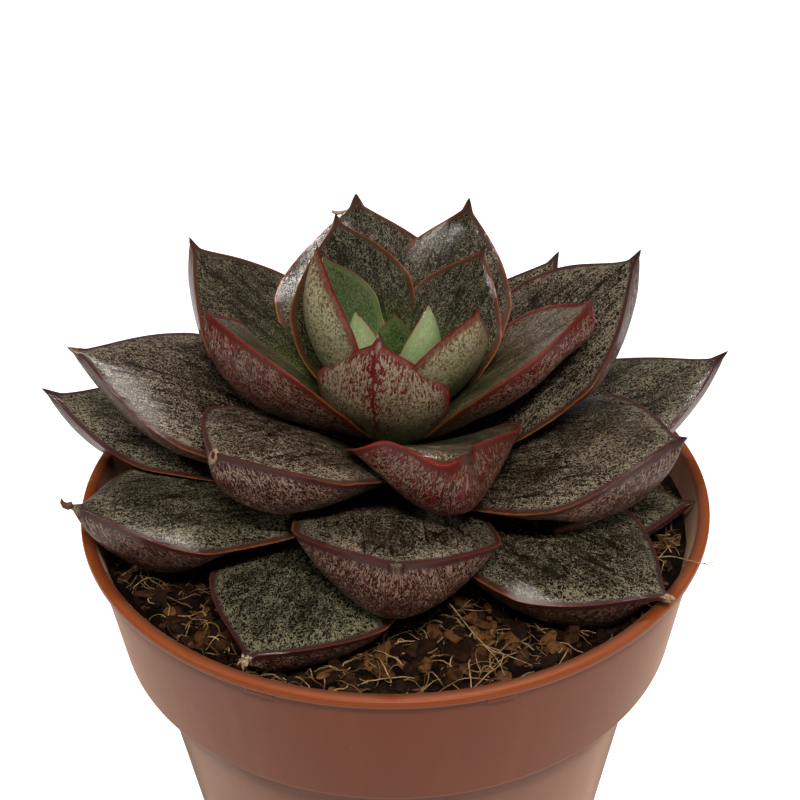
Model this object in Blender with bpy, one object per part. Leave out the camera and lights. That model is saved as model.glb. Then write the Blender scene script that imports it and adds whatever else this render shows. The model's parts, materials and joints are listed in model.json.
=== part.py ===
"""Potted echeveria: a rosette of thick keeled leaves on a short stem, in a plastic nursery pot.

Sizes are in millimetres until a mesh is made, and the scene is in metres, +Z up.
The origin is the centre of the pot's foot, on the surface it stands on.
Azimuth 0 is +X and 90 is +Y, seen from above. The rosette's front faces -Y.
"""

import math
import random

import bmesh
import bpy
import numpy as np
from mathutils import Vector
from mathutils.bvhtree import BVHTree

MM = 0.001
GAP = 0.3

# Pot
POT_HEIGHT = 90.0
LIP_RADIUS = 52.5
LIP_HEIGHT = 1.4
LIP_LEDGE = 1.9
COLLAR_TOP_RADIUS = 51.2
COLLAR_FOOT_RADIUS = 48.3
COLLAR_HEIGHT = 22.7
BODY_TOP_RADIUS = 44.3
BODY_TAPER = 0.142
WALL = 1.1
INNER_STEP_FALL = 0.4
FOOT_RING_WIDTH = 3.0
FOOT_RECESS = 2.5
FOOT_DISC_RADIUS = 9.0
DRAIN_HOLES = 8
DRAIN_RADIUS = 3.2
DRAIN_CIRCLE = 22.0
POT_SIDES = 48
TAB_LENGTH = 4.4
TAB_HEIGHT = 1.0
TAB_STANDS_OUT = 0.9
TAB_AZIMUTHS = (-112, -74, -33, -4, 176, 206)
LIP_EDGE = POT_HEIGHT - LIP_HEIGHT

# Soil, heights measured from the lip's lower edge
SOIL_RINGS = (6.4, 10, 14, 19, 24, 28, 31.5, 34.5, 37, 39, 41, 43, 45, 46.7, 48.2)
SOIL_MIDDLE = -7.0
SOIL_FRONT = -2.2
SOIL_BACK = -7.5
SOIL_PRESS = 0.6
SOIL_PROBE_REACH = 2.0
SOIL_LUMPS = 150
SOIL_SEED = 11

# Stem
STEM_RADIUS = 6.0
STEM_TOP_RADIUS = 5.0
STEM_TOP = 8.4
STEM_ROOT = -30.0
STEM_SIDES = 16

# Leaf outline: how steeply it widens from the neck, how full it stays towards the tip, and
# how much its last part draws in
FOOT_SWELL = 2.4
FULLNESS = 1.5
TIP_DRAW = 0.3
# Leaf cross-sections: shares of the half width, from one margin to the other
LEAF_STATIONS = (0, 0.1, 0.2, 0.32, 0.44, 0.56, 0.66, 0.75, 0.83, 0.9, 0.95, 0.98)
UPPER_FACE = (-1, -0.55, 0, 0.55, 1)
UNDERSIDE = (0.8, 0.45, 0, -0.45, -0.8)
NECK_WIDTH = 0.25
NECK_DEPTH = 0.24
THICKEST_AT = 0.6
LEAST_DEPTH = 0.7
PRESS_GAP = 0.35
PRESS_STEP = 0.3
LIFT_STEP = 0.12
LIFT_MOST = 2.4
AROUND = len(UPPER_FACE) + len(UNDERSIDE)

# Each leaf, from the lowest to the innermost: azimuth, radius and height of its tip, width,
# thickness, curl, roll and crown. Heights are above the lip's lower edge, angles in degrees.
# The crown is how far the upper face stands up (+) or is channelled (-) in the middle.
LEAVES = (
    (95, 49, -1, 29, 7, 8, 0, 0.8),
    (-9, 50.5, 1, 28, 8, 8, 0, 0.8),
    (-117, 49, 1, 31, 10, 0, 0, 1.5),
    (48, 49, 2, 28, 8, 6, 0, 0.8),
    (140, 50, 3.5, 28, 8, 6, 0, 0.8),
    (-41, 54, 4, 31, 11, 0, -2, 1.5),
    (-157, 54.4, 12, 30, 12, 0, 2, 1.5),
    (75, 51, 10, 29, 9, 4, 0, 0.8),
    (-90, 43, 17.5, 31, 12, 0, -4, 1.2),
    (172, 60.5, 15, 29, 9, 8, 0, 0.8),
    (10, 58, 19, 30, 9, 8, 0, 0.8),
    (112, 48, 17, 28, 9, 6, 0, 0.8),
    (47, 44.5, 28, 27, 8, 8, 0, 0.8),
    (-179, 51.8, 28.5, 31, 9, -15, -6, 1.5),
    (-26, 48.4, 23, 32, 11, 0, 4, 1.5),
    (140, 39, 29.5, 26, 8, 6, 0, 0.8),
    (-134, 39.1, 26.5, 31, 10, -22, 0, 1.2),
    (9, 40.8, 40.1, 33, 9, -3, 7, 0.8),
)
LOWEST_FOOT = 0.0
FOOT_RISE = 0.35
MOST_CLIMBS = 16

# Heart: the inner leaves, grown together at the tip of the stem. The values are those of
# a leaf above, then the radius and height of its foot.
HEART_RADIUS = 5.0
HEART_HEIGHT = 8.0
HEART_RINGS = 4
HEART_LIFT_MOST = 4.0
HEART_LEAVES = (
    (-71, 32.6, 27.4, 27, 9, -4, -5, -0.8, 4.2, 10.6),
    (157, 36.6, 40, 30, 8, 8, 0, 0.8, 4.2, 10.0),
    (85, 34, 30, 25, 7, 8, 0, 0.8, 4.2, 10.4),
    (104, 25, 43.5, 32, 7, 13, 1, 0.8, 3.8, 11.2),
    (58, 25.7, 43.3, 24.5, 7, 5, 3, 0.8, 3.8, 11.6),
    (-10, 31.6, 38.3, 25, 8, 4, -4, -1.0, 3.8, 11.6),
    (-169, 29.6, 37.6, 26, 7.5, -4, 12, -1.0, 3.8, 11.4),
    (127, 14.7, 45.5, 23.8, 5, 15, -2.5, 0.5, 3.2, 13.2),
    (36, 19, 39.5, 22, 5, 0, 3, 0.5, 3.2, 13.4),
    (-103, 10.1, 34.6, 21.5, 5, 18, -1, -0.6, 4.6, 12.0),
    (-37, 16.4, 39.4, 15.5, 3.2, 8, -16, -0.6, 3.0, 13.6),
    (-152, 12.4, 48.5, 10.2, 3.4, 36, 12, -0.8, 2.6, 14.8),
    (156, 11.8, 42.1, 17, 3.5, 9, -9, -0.8, 2.4, 15.2),
    (-146, 6.8, 36.5, 10, 3.0, 7, 8, -0.6, 1.6, 15.6),
    (-25, 6.1, 36.7, 11.2, 3.0, 8, -10, -0.6, 1.6, 15.6),
    (85, 4, 32, 8, 2.4, 6, 0, -0.5, 1.2, 16.0),
    (-60, 2, 27.5, 6, 2.0, 4, 0, -0.4, 1.0, 16.2),
    (150, 2.5, 29.5, 6, 2.0, 4, 0, -0.4, 1.0, 16.2),
)


def clear_scene():
    for obj in list(bpy.data.objects):
        bpy.data.objects.remove(obj, do_unlink=True)


def material(name, colour, roughness, metallic=0.0):
    made = bpy.data.materials.new(name)
    made.use_nodes = True
    shader = made.node_tree.nodes["Principled BSDF"]
    shader.inputs["Base Color"].default_value = (*colour, 1.0)
    shader.inputs["Roughness"].default_value = roughness
    shader.inputs["Metallic"].default_value = metallic
    return made


def object_from(name, points, faces, finish, sharp_angle=40):
    mesh = bpy.data.meshes.new(name)
    mesh.from_pydata([tuple(p) for p in np.asarray(points) * MM], [], faces)
    mesh.validate()
    mesh.shade_smooth()
    mesh.set_sharp_from_angle(angle=math.radians(sharp_angle))
    mesh.materials.append(finish)
    obj = bpy.data.objects.new(name, mesh)
    bpy.context.collection.objects.link(obj)
    return obj


def turned(profile, sides):
    """A closed profile of (radius, height) points turned about Z. Its outer side runs downwards."""
    angles = [2 * math.pi * k / sides for k in range(sides)]
    points = [
        (r * math.cos(a), r * math.sin(a), z) for a in angles for r, z in profile
    ]
    count = len(profile)
    faces = []
    for k in range(sides):
        here, there = k * count, (k + 1) % sides * count
        for i in range(count):
            j = (i + 1) % count
            faces.append((here + i, here + j, there + j, there + i))
    return points, faces


def apply_modifier(obj, modifier):
    bpy.context.view_layer.objects.active = obj
    with bpy.context.temp_override(object=obj, active_object=obj):
        bpy.ops.object.modifier_apply(modifier=modifier.name)


def unite(obj, others, solver="EXACT"):
    """One Boolean union of an object with the others, which are then removed."""
    group = bpy.data.collections.new(obj.name + "_union")
    bpy.context.scene.collection.children.link(group)
    for other in others:
        for old in list(other.users_collection):
            old.objects.unlink(other)
        group.objects.link(other)
    modifier = obj.modifiers.new("union", "BOOLEAN")
    modifier.operation = "UNION"
    modifier.operand_type = "COLLECTION"
    modifier.collection = group
    modifier.solver = solver
    apply_modifier(obj, modifier)
    for other in others:
        bpy.data.objects.remove(other, do_unlink=True)
    bpy.data.collections.remove(group)


def body_radius(depth):
    """Outer radius of the pot below the step, at a depth under the lip's lower edge."""
    return BODY_TOP_RADIUS - BODY_TAPER * (depth - COLLAR_HEIGHT)


def inner_radius(z):
    """Radius of the pot's inner wall at a height above its foot."""
    depth = LIP_EDGE - z
    if depth > COLLAR_HEIGHT - WALL + 0.001:
        return body_radius(max(depth, COLLAR_HEIGHT)) - WALL
    taper = (COLLAR_TOP_RADIUS - COLLAR_FOOT_RADIUS) / COLLAR_HEIGHT
    return COLLAR_TOP_RADIUS - taper * max(depth, 0) - WALL


def pot_profile():
    foot = body_radius(LIP_EDGE)
    floor = FOOT_RECESS + WALL
    step = LIP_EDGE - COLLAR_HEIGHT
    lip_inner = LIP_RADIUS - LIP_LEDGE
    bead = 0.5
    return [
        (lip_inner, POT_HEIGHT),
        (LIP_RADIUS - bead, POT_HEIGHT),
        (LIP_RADIUS, POT_HEIGHT - bead),
        (LIP_RADIUS, LIP_EDGE + bead),
        (LIP_RADIUS - bead, LIP_EDGE),
        (COLLAR_TOP_RADIUS, LIP_EDGE),
        (COLLAR_FOOT_RADIUS, step + 0.8),
        (COLLAR_FOOT_RADIUS - 0.7, step),
        (BODY_TOP_RADIUS + 0.3, step),
        (BODY_TOP_RADIUS - 0.1, step - 0.6),
        (foot + 0.1, 0.8),
        (foot - 0.7, 0),
        (foot - FOOT_RING_WIDTH, 0),
        (foot - FOOT_RING_WIDTH - 0.5, FOOT_RECESS),
        (FOOT_DISC_RADIUS + 0.5, FOOT_RECESS),
        (FOOT_DISC_RADIUS, 0),
        (0, 0),
        (0, floor),
        (inner_radius(floor) - 1.0, floor),
        (inner_radius(floor + 1.0), floor + 1.0),
        (body_radius(COLLAR_HEIGHT) - WALL, step - WALL),
        (body_radius(COLLAR_HEIGHT) - WALL, step + WALL - INNER_STEP_FALL),
        (inner_radius(step + WALL), step + WALL),
        (inner_radius(LIP_EDGE), LIP_EDGE - 0.4),
    ]


def closed_at_axis(points, faces):
    """Merges the points that lie on the axis and drops the faces that this folds up."""
    mesh = bmesh.new()
    made = [mesh.verts.new(p) for p in points]
    for face in faces:
        mesh.faces.new([made[i] for i in face])
    bmesh.ops.remove_doubles(mesh, verts=mesh.verts, dist=1e-4)
    bmesh.ops.dissolve_degenerate(mesh, edges=mesh.edges, dist=1e-4)
    mesh.verts.index_update()
    out_points = [tuple(v.co) for v in mesh.verts]
    out_faces = [tuple(v.index for v in f.verts) for f in mesh.faces]
    mesh.free()
    return out_points, out_faces


def make_pot(finish):
    points, faces = closed_at_axis(*turned(pot_profile(), POT_SIDES))
    pot = object_from("pot", points, faces, finish)
    tabs = [make_tab(azimuth, finish) for azimuth in TAB_AZIMUTHS]
    unite(pot, tabs)
    for k in range(DRAIN_HOLES):
        angle = 2 * math.pi * (k + 0.5) / DRAIN_HOLES
        cutter = make_drill(DRAIN_CIRCLE, angle)
        modifier = pot.modifiers.new("drain_hole", "BOOLEAN")
        modifier.operation = "DIFFERENCE"
        modifier.object = cutter
        apply_modifier(pot, modifier)
        bpy.data.objects.remove(cutter, do_unlink=True)
    return pot


def make_tab(azimuth, finish):
    """A small moulding tab under the lip."""
    half = TAB_LENGTH / 2
    inner = COLLAR_TOP_RADIUS - 0.9
    outer = COLLAR_TOP_RADIUS + TAB_STANDS_OUT
    top = LIP_EDGE + 0.3
    bottom = LIP_EDGE - TAB_HEIGHT
    corners = [
        (r, y, z) for r in (inner, outer) for y in (-half, half) for z in (bottom, top)
    ]
    a = math.radians(azimuth)
    points = [
        (x * math.cos(a) - y * math.sin(a), x * math.sin(a) + y * math.cos(a), z)
        for x, y, z in corners
    ]
    faces = [
        (0, 1, 3, 2),
        (4, 6, 7, 5),
        (0, 4, 5, 1),
        (2, 3, 7, 6),
        (0, 2, 6, 4),
        (1, 5, 7, 3),
    ]
    return object_from("tab", points, faces, finish)


def make_drill(radius, angle):
    mesh = bmesh.new()
    bmesh.ops.create_cone(
        mesh,
        cap_ends=True,
        segments=12,
        radius1=DRAIN_RADIUS * MM,
        radius2=DRAIN_RADIUS * MM,
        depth=3 * WALL * MM,
    )
    place = Vector((radius * math.cos(angle), radius * math.sin(angle), FOOT_RECESS))
    bmesh.ops.translate(mesh, verts=mesh.verts, vec=place * MM)
    data = bpy.data.meshes.new("drill")
    mesh.to_mesh(data)
    mesh.free()
    drill = bpy.data.objects.new("drill", data)
    bpy.context.collection.objects.link(drill)
    return drill


def width_share(t, widest):
    """Half width along the leaf: a quick rise from the neck, then nearly straight to a drawn-out tip."""
    if t <= widest:
        return NECK_WIDTH + (1 - NECK_WIDTH) * (1 - (1 - t / widest) ** FOOT_SWELL)
    s = min((t - widest) / (0.97 - widest), 1)
    fall = (1 - s**FULLNESS) * (1 - TIP_DRAW * s**6)
    return max(fall, min(0.09, 0.09 * (1 - t) / 0.04))


def depth_share(t):
    """Thickness along the leaf: a thin neck, fullest past the middle, and a blunt end."""
    if t <= THICKEST_AT:
        rise = math.sin(math.pi / 2 * t / THICKEST_AT) ** 1.6
        return NECK_DEPTH + (1 - NECK_DEPTH) * rise
    s = min((t - THICKEST_AT) / (0.985 - THICKEST_AT), 1)
    return max((1 - s**2.2) ** 0.85, 0.07)


class Leaf:
    """One leaf as cross-sections along an arched midline, upper face first."""

    def __init__(self, azimuth, tip, width, depth, foot, curl, roll, crown):
        """tip and foot are (radius, height) above the lip's lower edge."""
        run, rise = tip[0] - foot[0], tip[1] - foot[1]
        self.azimuth = math.radians(azimuth)
        self.pitch = math.atan2(rise, run)
        self.curl = math.radians(curl)
        self.roll = math.radians(roll)
        self.width = width
        self.depth = depth
        self.crown = crown
        self.widest = 0.62 if depth >= 10 else 0.58
        bow = self.curl / 2
        self.arc = math.hypot(run, rise) * (bow / math.sin(bow) if bow else 1)
        outward = np.array([math.cos(self.azimuth), math.sin(self.azimuth), 0])
        self.foot = outward * foot[0] + np.array([0, 0, LIP_EDGE + foot[1]])
        self.lift = np.zeros(len(LEAF_STATIONS) + 1)
        self.depths = self.full_depths()

    def frame(self, t):
        """Midline point, side and up directions at the share t of the leaf's length."""
        steps = np.linspace(0, t, 24)
        middle = (steps[1:] + steps[:-1]) / 2
        pitches = self.pitch + self.curl * (middle - 0.5)
        along = self.arc * t / 23 if t else 0.0
        flat, rise = np.cos(pitches).sum() * along, np.sin(pitches).sum() * along
        outward = np.array([math.cos(self.azimuth), math.sin(self.azimuth), 0])
        point = self.foot + outward * flat + np.array([0, 0, rise])
        pitch = self.pitch + self.curl * (t - 0.5)
        forward = outward * math.cos(pitch) + np.array([0, 0, math.sin(pitch)])
        side = np.array([-outward[1], outward[0], 0])
        up = np.cross(forward, side)
        c, s = math.cos(self.roll), math.sin(self.roll)
        return point, c * side + s * up, c * up - s * side

    def sheet(self, station):
        """Points across one section at the level of its margins, and its up direction."""
        t = LEAF_STATIONS[station]
        point, side, up = self.frame(t)
        point = point + up * self.lift[station]
        half = self.width / 2 * width_share(t, self.widest)
        hollow = max(-self.crown, 0) * width_share(t, self.widest) * min(1, t / 0.3)
        return point, side, up, half, hollow

    def full_depths(self):
        """Thickness under each point of the underside, before anything presses on it."""
        depths = []
        for t in LEAF_STATIONS:
            keel = 2.5 - 0.66 * min(max((t - 0.45) / 0.4, 0), 1)
            depth = self.depth * depth_share(t)
            depths.append([depth * (1 - abs(q) ** keel) for q in UNDERSIDE])
        return np.array(depths)

    def points(self, extra=0.0):
        """All points, one section after another and the tip last. extra thickens the underside."""
        points = []
        for station, t in enumerate(LEAF_STATIONS):
            point, side, up, half, hollow = self.sheet(station)
            crown = max(self.crown, 0) * math.sin(math.pi * min(t / 0.97, 1)) ** 0.7
            for q in UPPER_FACE:
                height = crown * (1 - abs(q) ** 2.6) + hollow * q * q
                points.append(point + side * (q * half) + up * height)
            for q, depth in zip(UNDERSIDE, self.depths[station]):
                height = hollow * q * q - depth - extra
                points.append(point + side * (q * half) + up * height)
        tip, _, up = self.frame(1.0)
        points.append(tip + up * self.lift[-1])
        return points

    @staticmethod
    def faces():
        """Triangles along the blade, a fan at the tip and one flat face at the foot."""
        faces = []
        for i in range(len(LEAF_STATIONS) - 1):
            for j in range(AROUND):
                a, b = i * AROUND + j, i * AROUND + (j + 1) % AROUND
                faces.append((a, a + AROUND, b + AROUND))
                faces.append((a, b + AROUND, b))
        last = (len(LEAF_STATIONS) - 1) * AROUND
        tip = last + AROUND
        for j in range(AROUND):
            faces.append((last + j, tip, last + (j + 1) % AROUND))
        faces.append(tuple(range(AROUND)))
        return faces

    def settle(self, below, lift_most):
        """Thins the underside where a lower leaf presses on it, and bends the blade up off it.

        False says that the neck has no room, so the leaf has to grow higher on the stem.
        """
        faces = triangles(self.faces())
        least = LEAST_DEPTH * (1 - np.square(UNDERSIDE))
        while self.lift.max() < lift_most:
            points = [Vector(p) for p in self.points(extra=PRESS_GAP)]
            touched = {a for a, _ in BVHTree.FromPolygons(points, faces).overlap(below)}
            if not touched:
                return True
            raised = set()
            for corner in {c for face in touched for c in faces[face]}:
                station, place = divmod(corner, AROUND)
                under = place - len(UPPER_FACE)
                if station == len(LEAF_STATIONS) or under < 0:
                    raised.add(station)
                elif self.depths[station][under] > least[under]:
                    thinner = self.depths[station][under] - PRESS_STEP
                    self.depths[station][under] = max(thinner, least[under])
                else:
                    raised.add(station)
            if raised == {0}:
                return False
            for station in raised - {0}:
                self.lift[station] += LIFT_STEP
            padded = np.pad(self.lift, 1, mode="edge")
            self.lift = np.maximum(self.lift, np.convolve(padded, (0.25, 0.5, 0.25), "valid"))
            self.lift[0] = 0
        return False


def triangles(faces):
    return [(f[0], f[i], f[i + 1]) for f in faces for i in range(1, len(f) - 1)]


def tree_of(solids):
    """One search tree over several (points, faces) solids."""
    points, faces = [], []
    for solid_points, solid_faces in solids:
        shift = len(points)
        points.extend(Vector(p) for p in solid_points)
        faces.extend(tuple(i + shift for i in f) for f in triangles(solid_faces))
    return BVHTree.FromPolygons(points, faces)


def stem_radius(height):
    """The stem's radius at a height above the lip's lower edge."""
    return STEM_RADIUS + (STEM_TOP_RADIUS - STEM_RADIUS) * min(max(height / STEM_TOP, 0), 1)


def grow_rosette(pot_solid):
    """The leaves from the lowest up, each settled on the pot and on those below it.

    A leaf whose neck has no room grows a little higher on the stem.
    """
    placed = []
    height = LOWEST_FOOT
    for azimuth, *tip, width, depth, curl, roll, crown in LEAVES:
        below = tree_of([pot_solid] + placed)
        for _ in range(MOST_CLIMBS):
            foot = (stem_radius(height) + GAP + 0.1, height)
            leaf = Leaf(azimuth, tip, width, depth, foot, curl, roll, crown)
            if leaf.settle(below, LIFT_MOST):
                break
            height += FOOT_RISE
        placed.append((leaf.points(), leaf.faces()))
    return placed


def make_heart(finish, outer):
    """A small dome with the inner leaves standing on it, united in one solid."""
    base = LIP_EDGE + STEM_TOP + GAP
    profile = [(0.0, base + HEART_HEIGHT)]
    for k in range(1, HEART_RINGS + 1):
        a = math.pi / 2 * k / HEART_RINGS
        profile.append((HEART_RADIUS * math.sin(a), base + HEART_HEIGHT * math.cos(a)))
    profile.append((0.0, base))
    points, faces = closed_at_axis(*turned(profile, STEM_SIDES))
    heart = object_from("heart", points, faces, finish)
    below = tree_of(outer)
    leaves = []
    for azimuth, *tip, width, depth, curl, roll, crown, radius, height in HEART_LEAVES:
        leaf = Leaf(azimuth, tip, width, depth, (radius, height), curl, roll, crown)
        leaf.settle(below, HEART_LIFT_MOST)
        leaves.append(object_from("young_leaf", leaf.points(), leaf.faces(), finish))
    unite(heart, leaves)
    return heart


def make_stem(finish):
    top, root = LIP_EDGE + STEM_TOP, LIP_EDGE + STEM_ROOT
    profile = [
        (0, top),
        (STEM_TOP_RADIUS, top),
        (STEM_TOP_RADIUS + 0.45 * (STEM_RADIUS - STEM_TOP_RADIUS), top - 6),
        (STEM_RADIUS, LIP_EDGE),
        (STEM_RADIUS, LIP_EDGE - 10),
        (STEM_RADIUS * 0.8, LIP_EDGE - 20),
        (STEM_RADIUS * 0.3, root),
        (0, root),
    ]
    points, faces = closed_at_axis(*turned(profile, STEM_SIDES))
    return object_from("stem", points, faces, finish)


def soil_lumps():
    """Crumbs and bits of bark as (x, y, radius, height), drawn once from a seed."""
    draw = random.Random(SOIL_SEED)
    lumps = []
    for _ in range(SOIL_LUMPS):
        r = 49 * math.sqrt(draw.uniform(0.2, 1))
        a = draw.uniform(0, 2 * math.pi)
        size = draw.uniform(1.6, 4.2)
        lumps.append((r * math.cos(a), r * math.sin(a), size, size * draw.uniform(0.3, 0.6)))
    return lumps


def soil_height(x, y, lumps):
    """Height of the soil's surface above the lip's lower edge."""
    r = math.hypot(x, y)
    front = 0.5 - 0.5 * y / max(r, 1)
    rim = SOIL_BACK + (SOIL_FRONT - SOIL_BACK) * front
    z = SOIL_MIDDLE + (rim - SOIL_MIDDLE) * min(r / 46, 1) ** 2
    best = 0.0
    for lx, ly, size, height in lumps:
        d = math.hypot(x - lx, y - ly) / size
        if d < 1:
            best = max(best, height * (1 - d * d))
    return z + best


def make_soil(finish, leaves):
    """Soil pressed down under the leaves that lie on it, with a plain hole for the stem."""
    under = tree_of(leaves)
    lumps = soil_lumps()
    floor = FOOT_RECESS + WALL + GAP
    step = LIP_EDGE - COLLAR_HEIGHT
    slack = GAP + 0.15
    body = body_radius(COLLAR_HEIGHT) - WALL - slack
    wall = [
        (inner_radius(step + WALL) - slack, step + WALL + slack),
        (body, step + WALL - INNER_STEP_FALL + slack),
        (body, step - WALL),
        (inner_radius(floor + 1.2) - slack, floor + 1.2),
        (inner_radius(floor) - slack - 1.0, floor),
        (0, floor),
        (0, LIP_EDGE + STEM_ROOT - slack),
        (SOIL_RINGS[0], LIP_EDGE + STEM_ROOT - slack),
    ]
    probes = [(0, 0)]
    for k in range(8):
        turn = math.pi / 4 * k
        probes.append((SOIL_PROBE_REACH * math.cos(turn), SOIL_PROBE_REACH * math.sin(turn)))
    points, faces = [], []
    for k in range(POT_SIDES):
        a = 2 * math.pi * k / POT_SIDES
        for r in SOIL_RINGS:
            x, y = r * math.cos(a), r * math.sin(a)
            z = LIP_EDGE + soil_height(x, y, lumps)
            for dx, dy in probes:
                start = Vector((x + dx, y + dy, floor))
                hit = under.ray_cast(start, Vector((0, 0, 1)), POT_HEIGHT)
                if hit[0] is not None:
                    z = min(z, floor + hit[3] - SOIL_PRESS)
            if r == SOIL_RINGS[-1]:
                r = inner_radius(z) - slack
                x, y = r * math.cos(a), r * math.sin(a)
            points.append((x, y, z))
        points.extend((r * math.cos(a), r * math.sin(a), z) for r, z in wall)
    count = len(SOIL_RINGS) + len(wall)
    for k in range(POT_SIDES):
        here, there = k * count, (k + 1) % POT_SIDES * count
        for i in range(count):
            j = (i + 1) % count
            a, b, c, d = here + i, here + j, there + j, there + i
            faces.append((a, b, c))
            faces.append((a, c, d))
    points, faces = closed_at_axis(points, faces)
    return object_from("soil", points, faces, finish, sharp_angle=60)


def main():
    clear_scene()
    plastic = material("pot_plastic", (0.33, 0.10, 0.05), 0.42)
    earth = material("soil", (0.06, 0.035, 0.02), 0.95)
    bark = material("stem", (0.16, 0.13, 0.08), 0.8)
    blade = material("leaf", (0.10, 0.075, 0.06), 0.35)
    young = material("young_leaf", (0.16, 0.26, 0.10), 0.4)

    pot = make_pot(plastic)
    pot_points = [tuple(v.co / MM) for v in pot.data.vertices]
    pot_faces = [tuple(p.vertices) for p in pot.data.polygons]
    leaves = grow_rosette((pot_points, pot_faces))
    for number, (points, faces) in enumerate(leaves, start=1):
        object_from(f"leaf_{number:02d}", points, faces, blade)
    make_heart(young, leaves)
    make_stem(bark)
    make_soil(earth, leaves)


main()
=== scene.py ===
"""The looks of the potted echeveria: fine leaves, pot, soil and stem, around the fixed frame."""
import json
import math
import random
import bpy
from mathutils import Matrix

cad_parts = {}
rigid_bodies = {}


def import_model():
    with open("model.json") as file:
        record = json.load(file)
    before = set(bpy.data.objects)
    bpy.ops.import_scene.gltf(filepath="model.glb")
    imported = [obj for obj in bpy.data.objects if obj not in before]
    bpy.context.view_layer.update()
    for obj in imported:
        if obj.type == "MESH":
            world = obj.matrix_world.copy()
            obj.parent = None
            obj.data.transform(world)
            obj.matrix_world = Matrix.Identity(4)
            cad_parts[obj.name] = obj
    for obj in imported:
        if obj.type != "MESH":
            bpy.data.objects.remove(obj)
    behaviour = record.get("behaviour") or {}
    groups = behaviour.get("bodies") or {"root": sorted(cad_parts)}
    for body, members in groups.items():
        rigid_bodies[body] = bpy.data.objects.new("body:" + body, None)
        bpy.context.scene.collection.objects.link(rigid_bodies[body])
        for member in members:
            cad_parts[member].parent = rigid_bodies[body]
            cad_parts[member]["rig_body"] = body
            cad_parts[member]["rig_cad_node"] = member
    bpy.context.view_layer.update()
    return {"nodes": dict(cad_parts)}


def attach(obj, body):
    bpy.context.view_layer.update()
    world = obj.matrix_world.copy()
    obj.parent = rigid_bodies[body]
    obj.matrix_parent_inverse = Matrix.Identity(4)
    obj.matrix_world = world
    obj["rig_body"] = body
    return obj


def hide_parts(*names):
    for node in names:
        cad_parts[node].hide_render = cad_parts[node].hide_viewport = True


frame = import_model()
from types import SimpleNamespace

import bpy
import numpy as np
from mathutils import Euler, Matrix, Vector, noise
from mathutils.bvhtree import BVHTree

# All sizes are in millimetres until a mesh is made. Heights of leaves and soil are measured
# from the lower edge of the pot's lip, as on the frame.
MM = 0.001
POT_HEIGHT = 90.0
LIP_RADIUS = 52.5
LIP_HEIGHT = 1.4
LIP_LEDGE = 1.9
COLLAR_TOP_RADIUS = 51.2
COLLAR_FOOT_RADIUS = 48.3
COLLAR_HEIGHT = 22.7
BODY_TOP_RADIUS = 44.3
BODY_TAPER = 0.142
WALL = 1.1
FOOT_RING_WIDTH = 3.0
FOOT_RECESS = 2.5
FOOT_DISC_RADIUS = 9.0
DRAIN_HOLES = 8
DRAIN_RADIUS = 3.2
DRAIN_CIRCLE = 22.0
TAB_LENGTH = 4.4
TAB_HEIGHT = 1.0
TAB_STANDS_OUT = 0.9
TAB_AZIMUTHS = (-112, -74, -33, -4, 176, 206)
LIP_EDGE = POT_HEIGHT - LIP_HEIGHT
STEM_TOP = 8.4

# Leaves: azimuth, radius and height of the tip, width, thickness, curl, roll and crown, then how
# red the leaf is (0 olive, 1 maroon), and how far its drawn-out point hooks up.
OUTER_LEAVES = {
    "leaf_01": (95, 49, -1, 29, 7, 8, 0, 0.8, 0.3, 0.4),
    "leaf_02": (-9, 50.5, 1, 28, 8, 8, 0, 0.8, 0.15, 0.4),
    "leaf_03": (-117, 49, 1, 31, 10, 0, 0, 1.5, 0.1, 0.0),
    "leaf_04": (48, 49, 2, 28, 8, 6, 0, 0.8, 0.3, 0.4),
    "leaf_05": (140, 50, 3.5, 28, 8, 6, 0, 0.8, 0.3, 0.4),
    "leaf_06": (-41, 54, 4, 31, 11, 0, -2, 1.5, 0.3, 0.0),
    "leaf_07": (-157, 54.4, 12, 30, 12, 0, 2, 1.5, 0.25, 0.8),
    "leaf_08": (75, 51, 10, 29, 9, 4, 0, 0.8, 0.4, 0.5),
    "leaf_09": (-90, 43, 17.5, 31, 12, 0, -4, 1.2, 0.6, 0.0),
    "leaf_10": (172, 60.5, 15, 29, 9, 8, 0, 0.8, 0.45, 0.9),
    "leaf_11": (10, 58, 19, 30, 9, 8, 0, 0.8, 0.4, 0.9),
    "leaf_12": (112, 48, 17, 28, 9, 6, 0, 0.8, 0.4, 0.5),
    "leaf_13": (47, 44.5, 28, 27, 8, 8, 0, 0.8, 0.4, 0.5),
    "leaf_14": (-179, 51.8, 28.5, 31, 9, -15, -6, 1.5, 0.75, 0.3),
    "leaf_15": (-26, 48.4, 23, 32, 11, 0, 4, 1.5, 0.55, 0.2),
    "leaf_16": (140, 39, 29.5, 26, 8, 6, 0, 0.8, 0.5, 0.6),
    "leaf_17": (-134, 39.1, 26.5, 31, 10, -22, 0, 1.2, 0.75, 0.0),
    "leaf_18": (9, 40.8, 40.1, 33, 9, -3, 7, 0.8, 0.5, 1.0),
}
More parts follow.
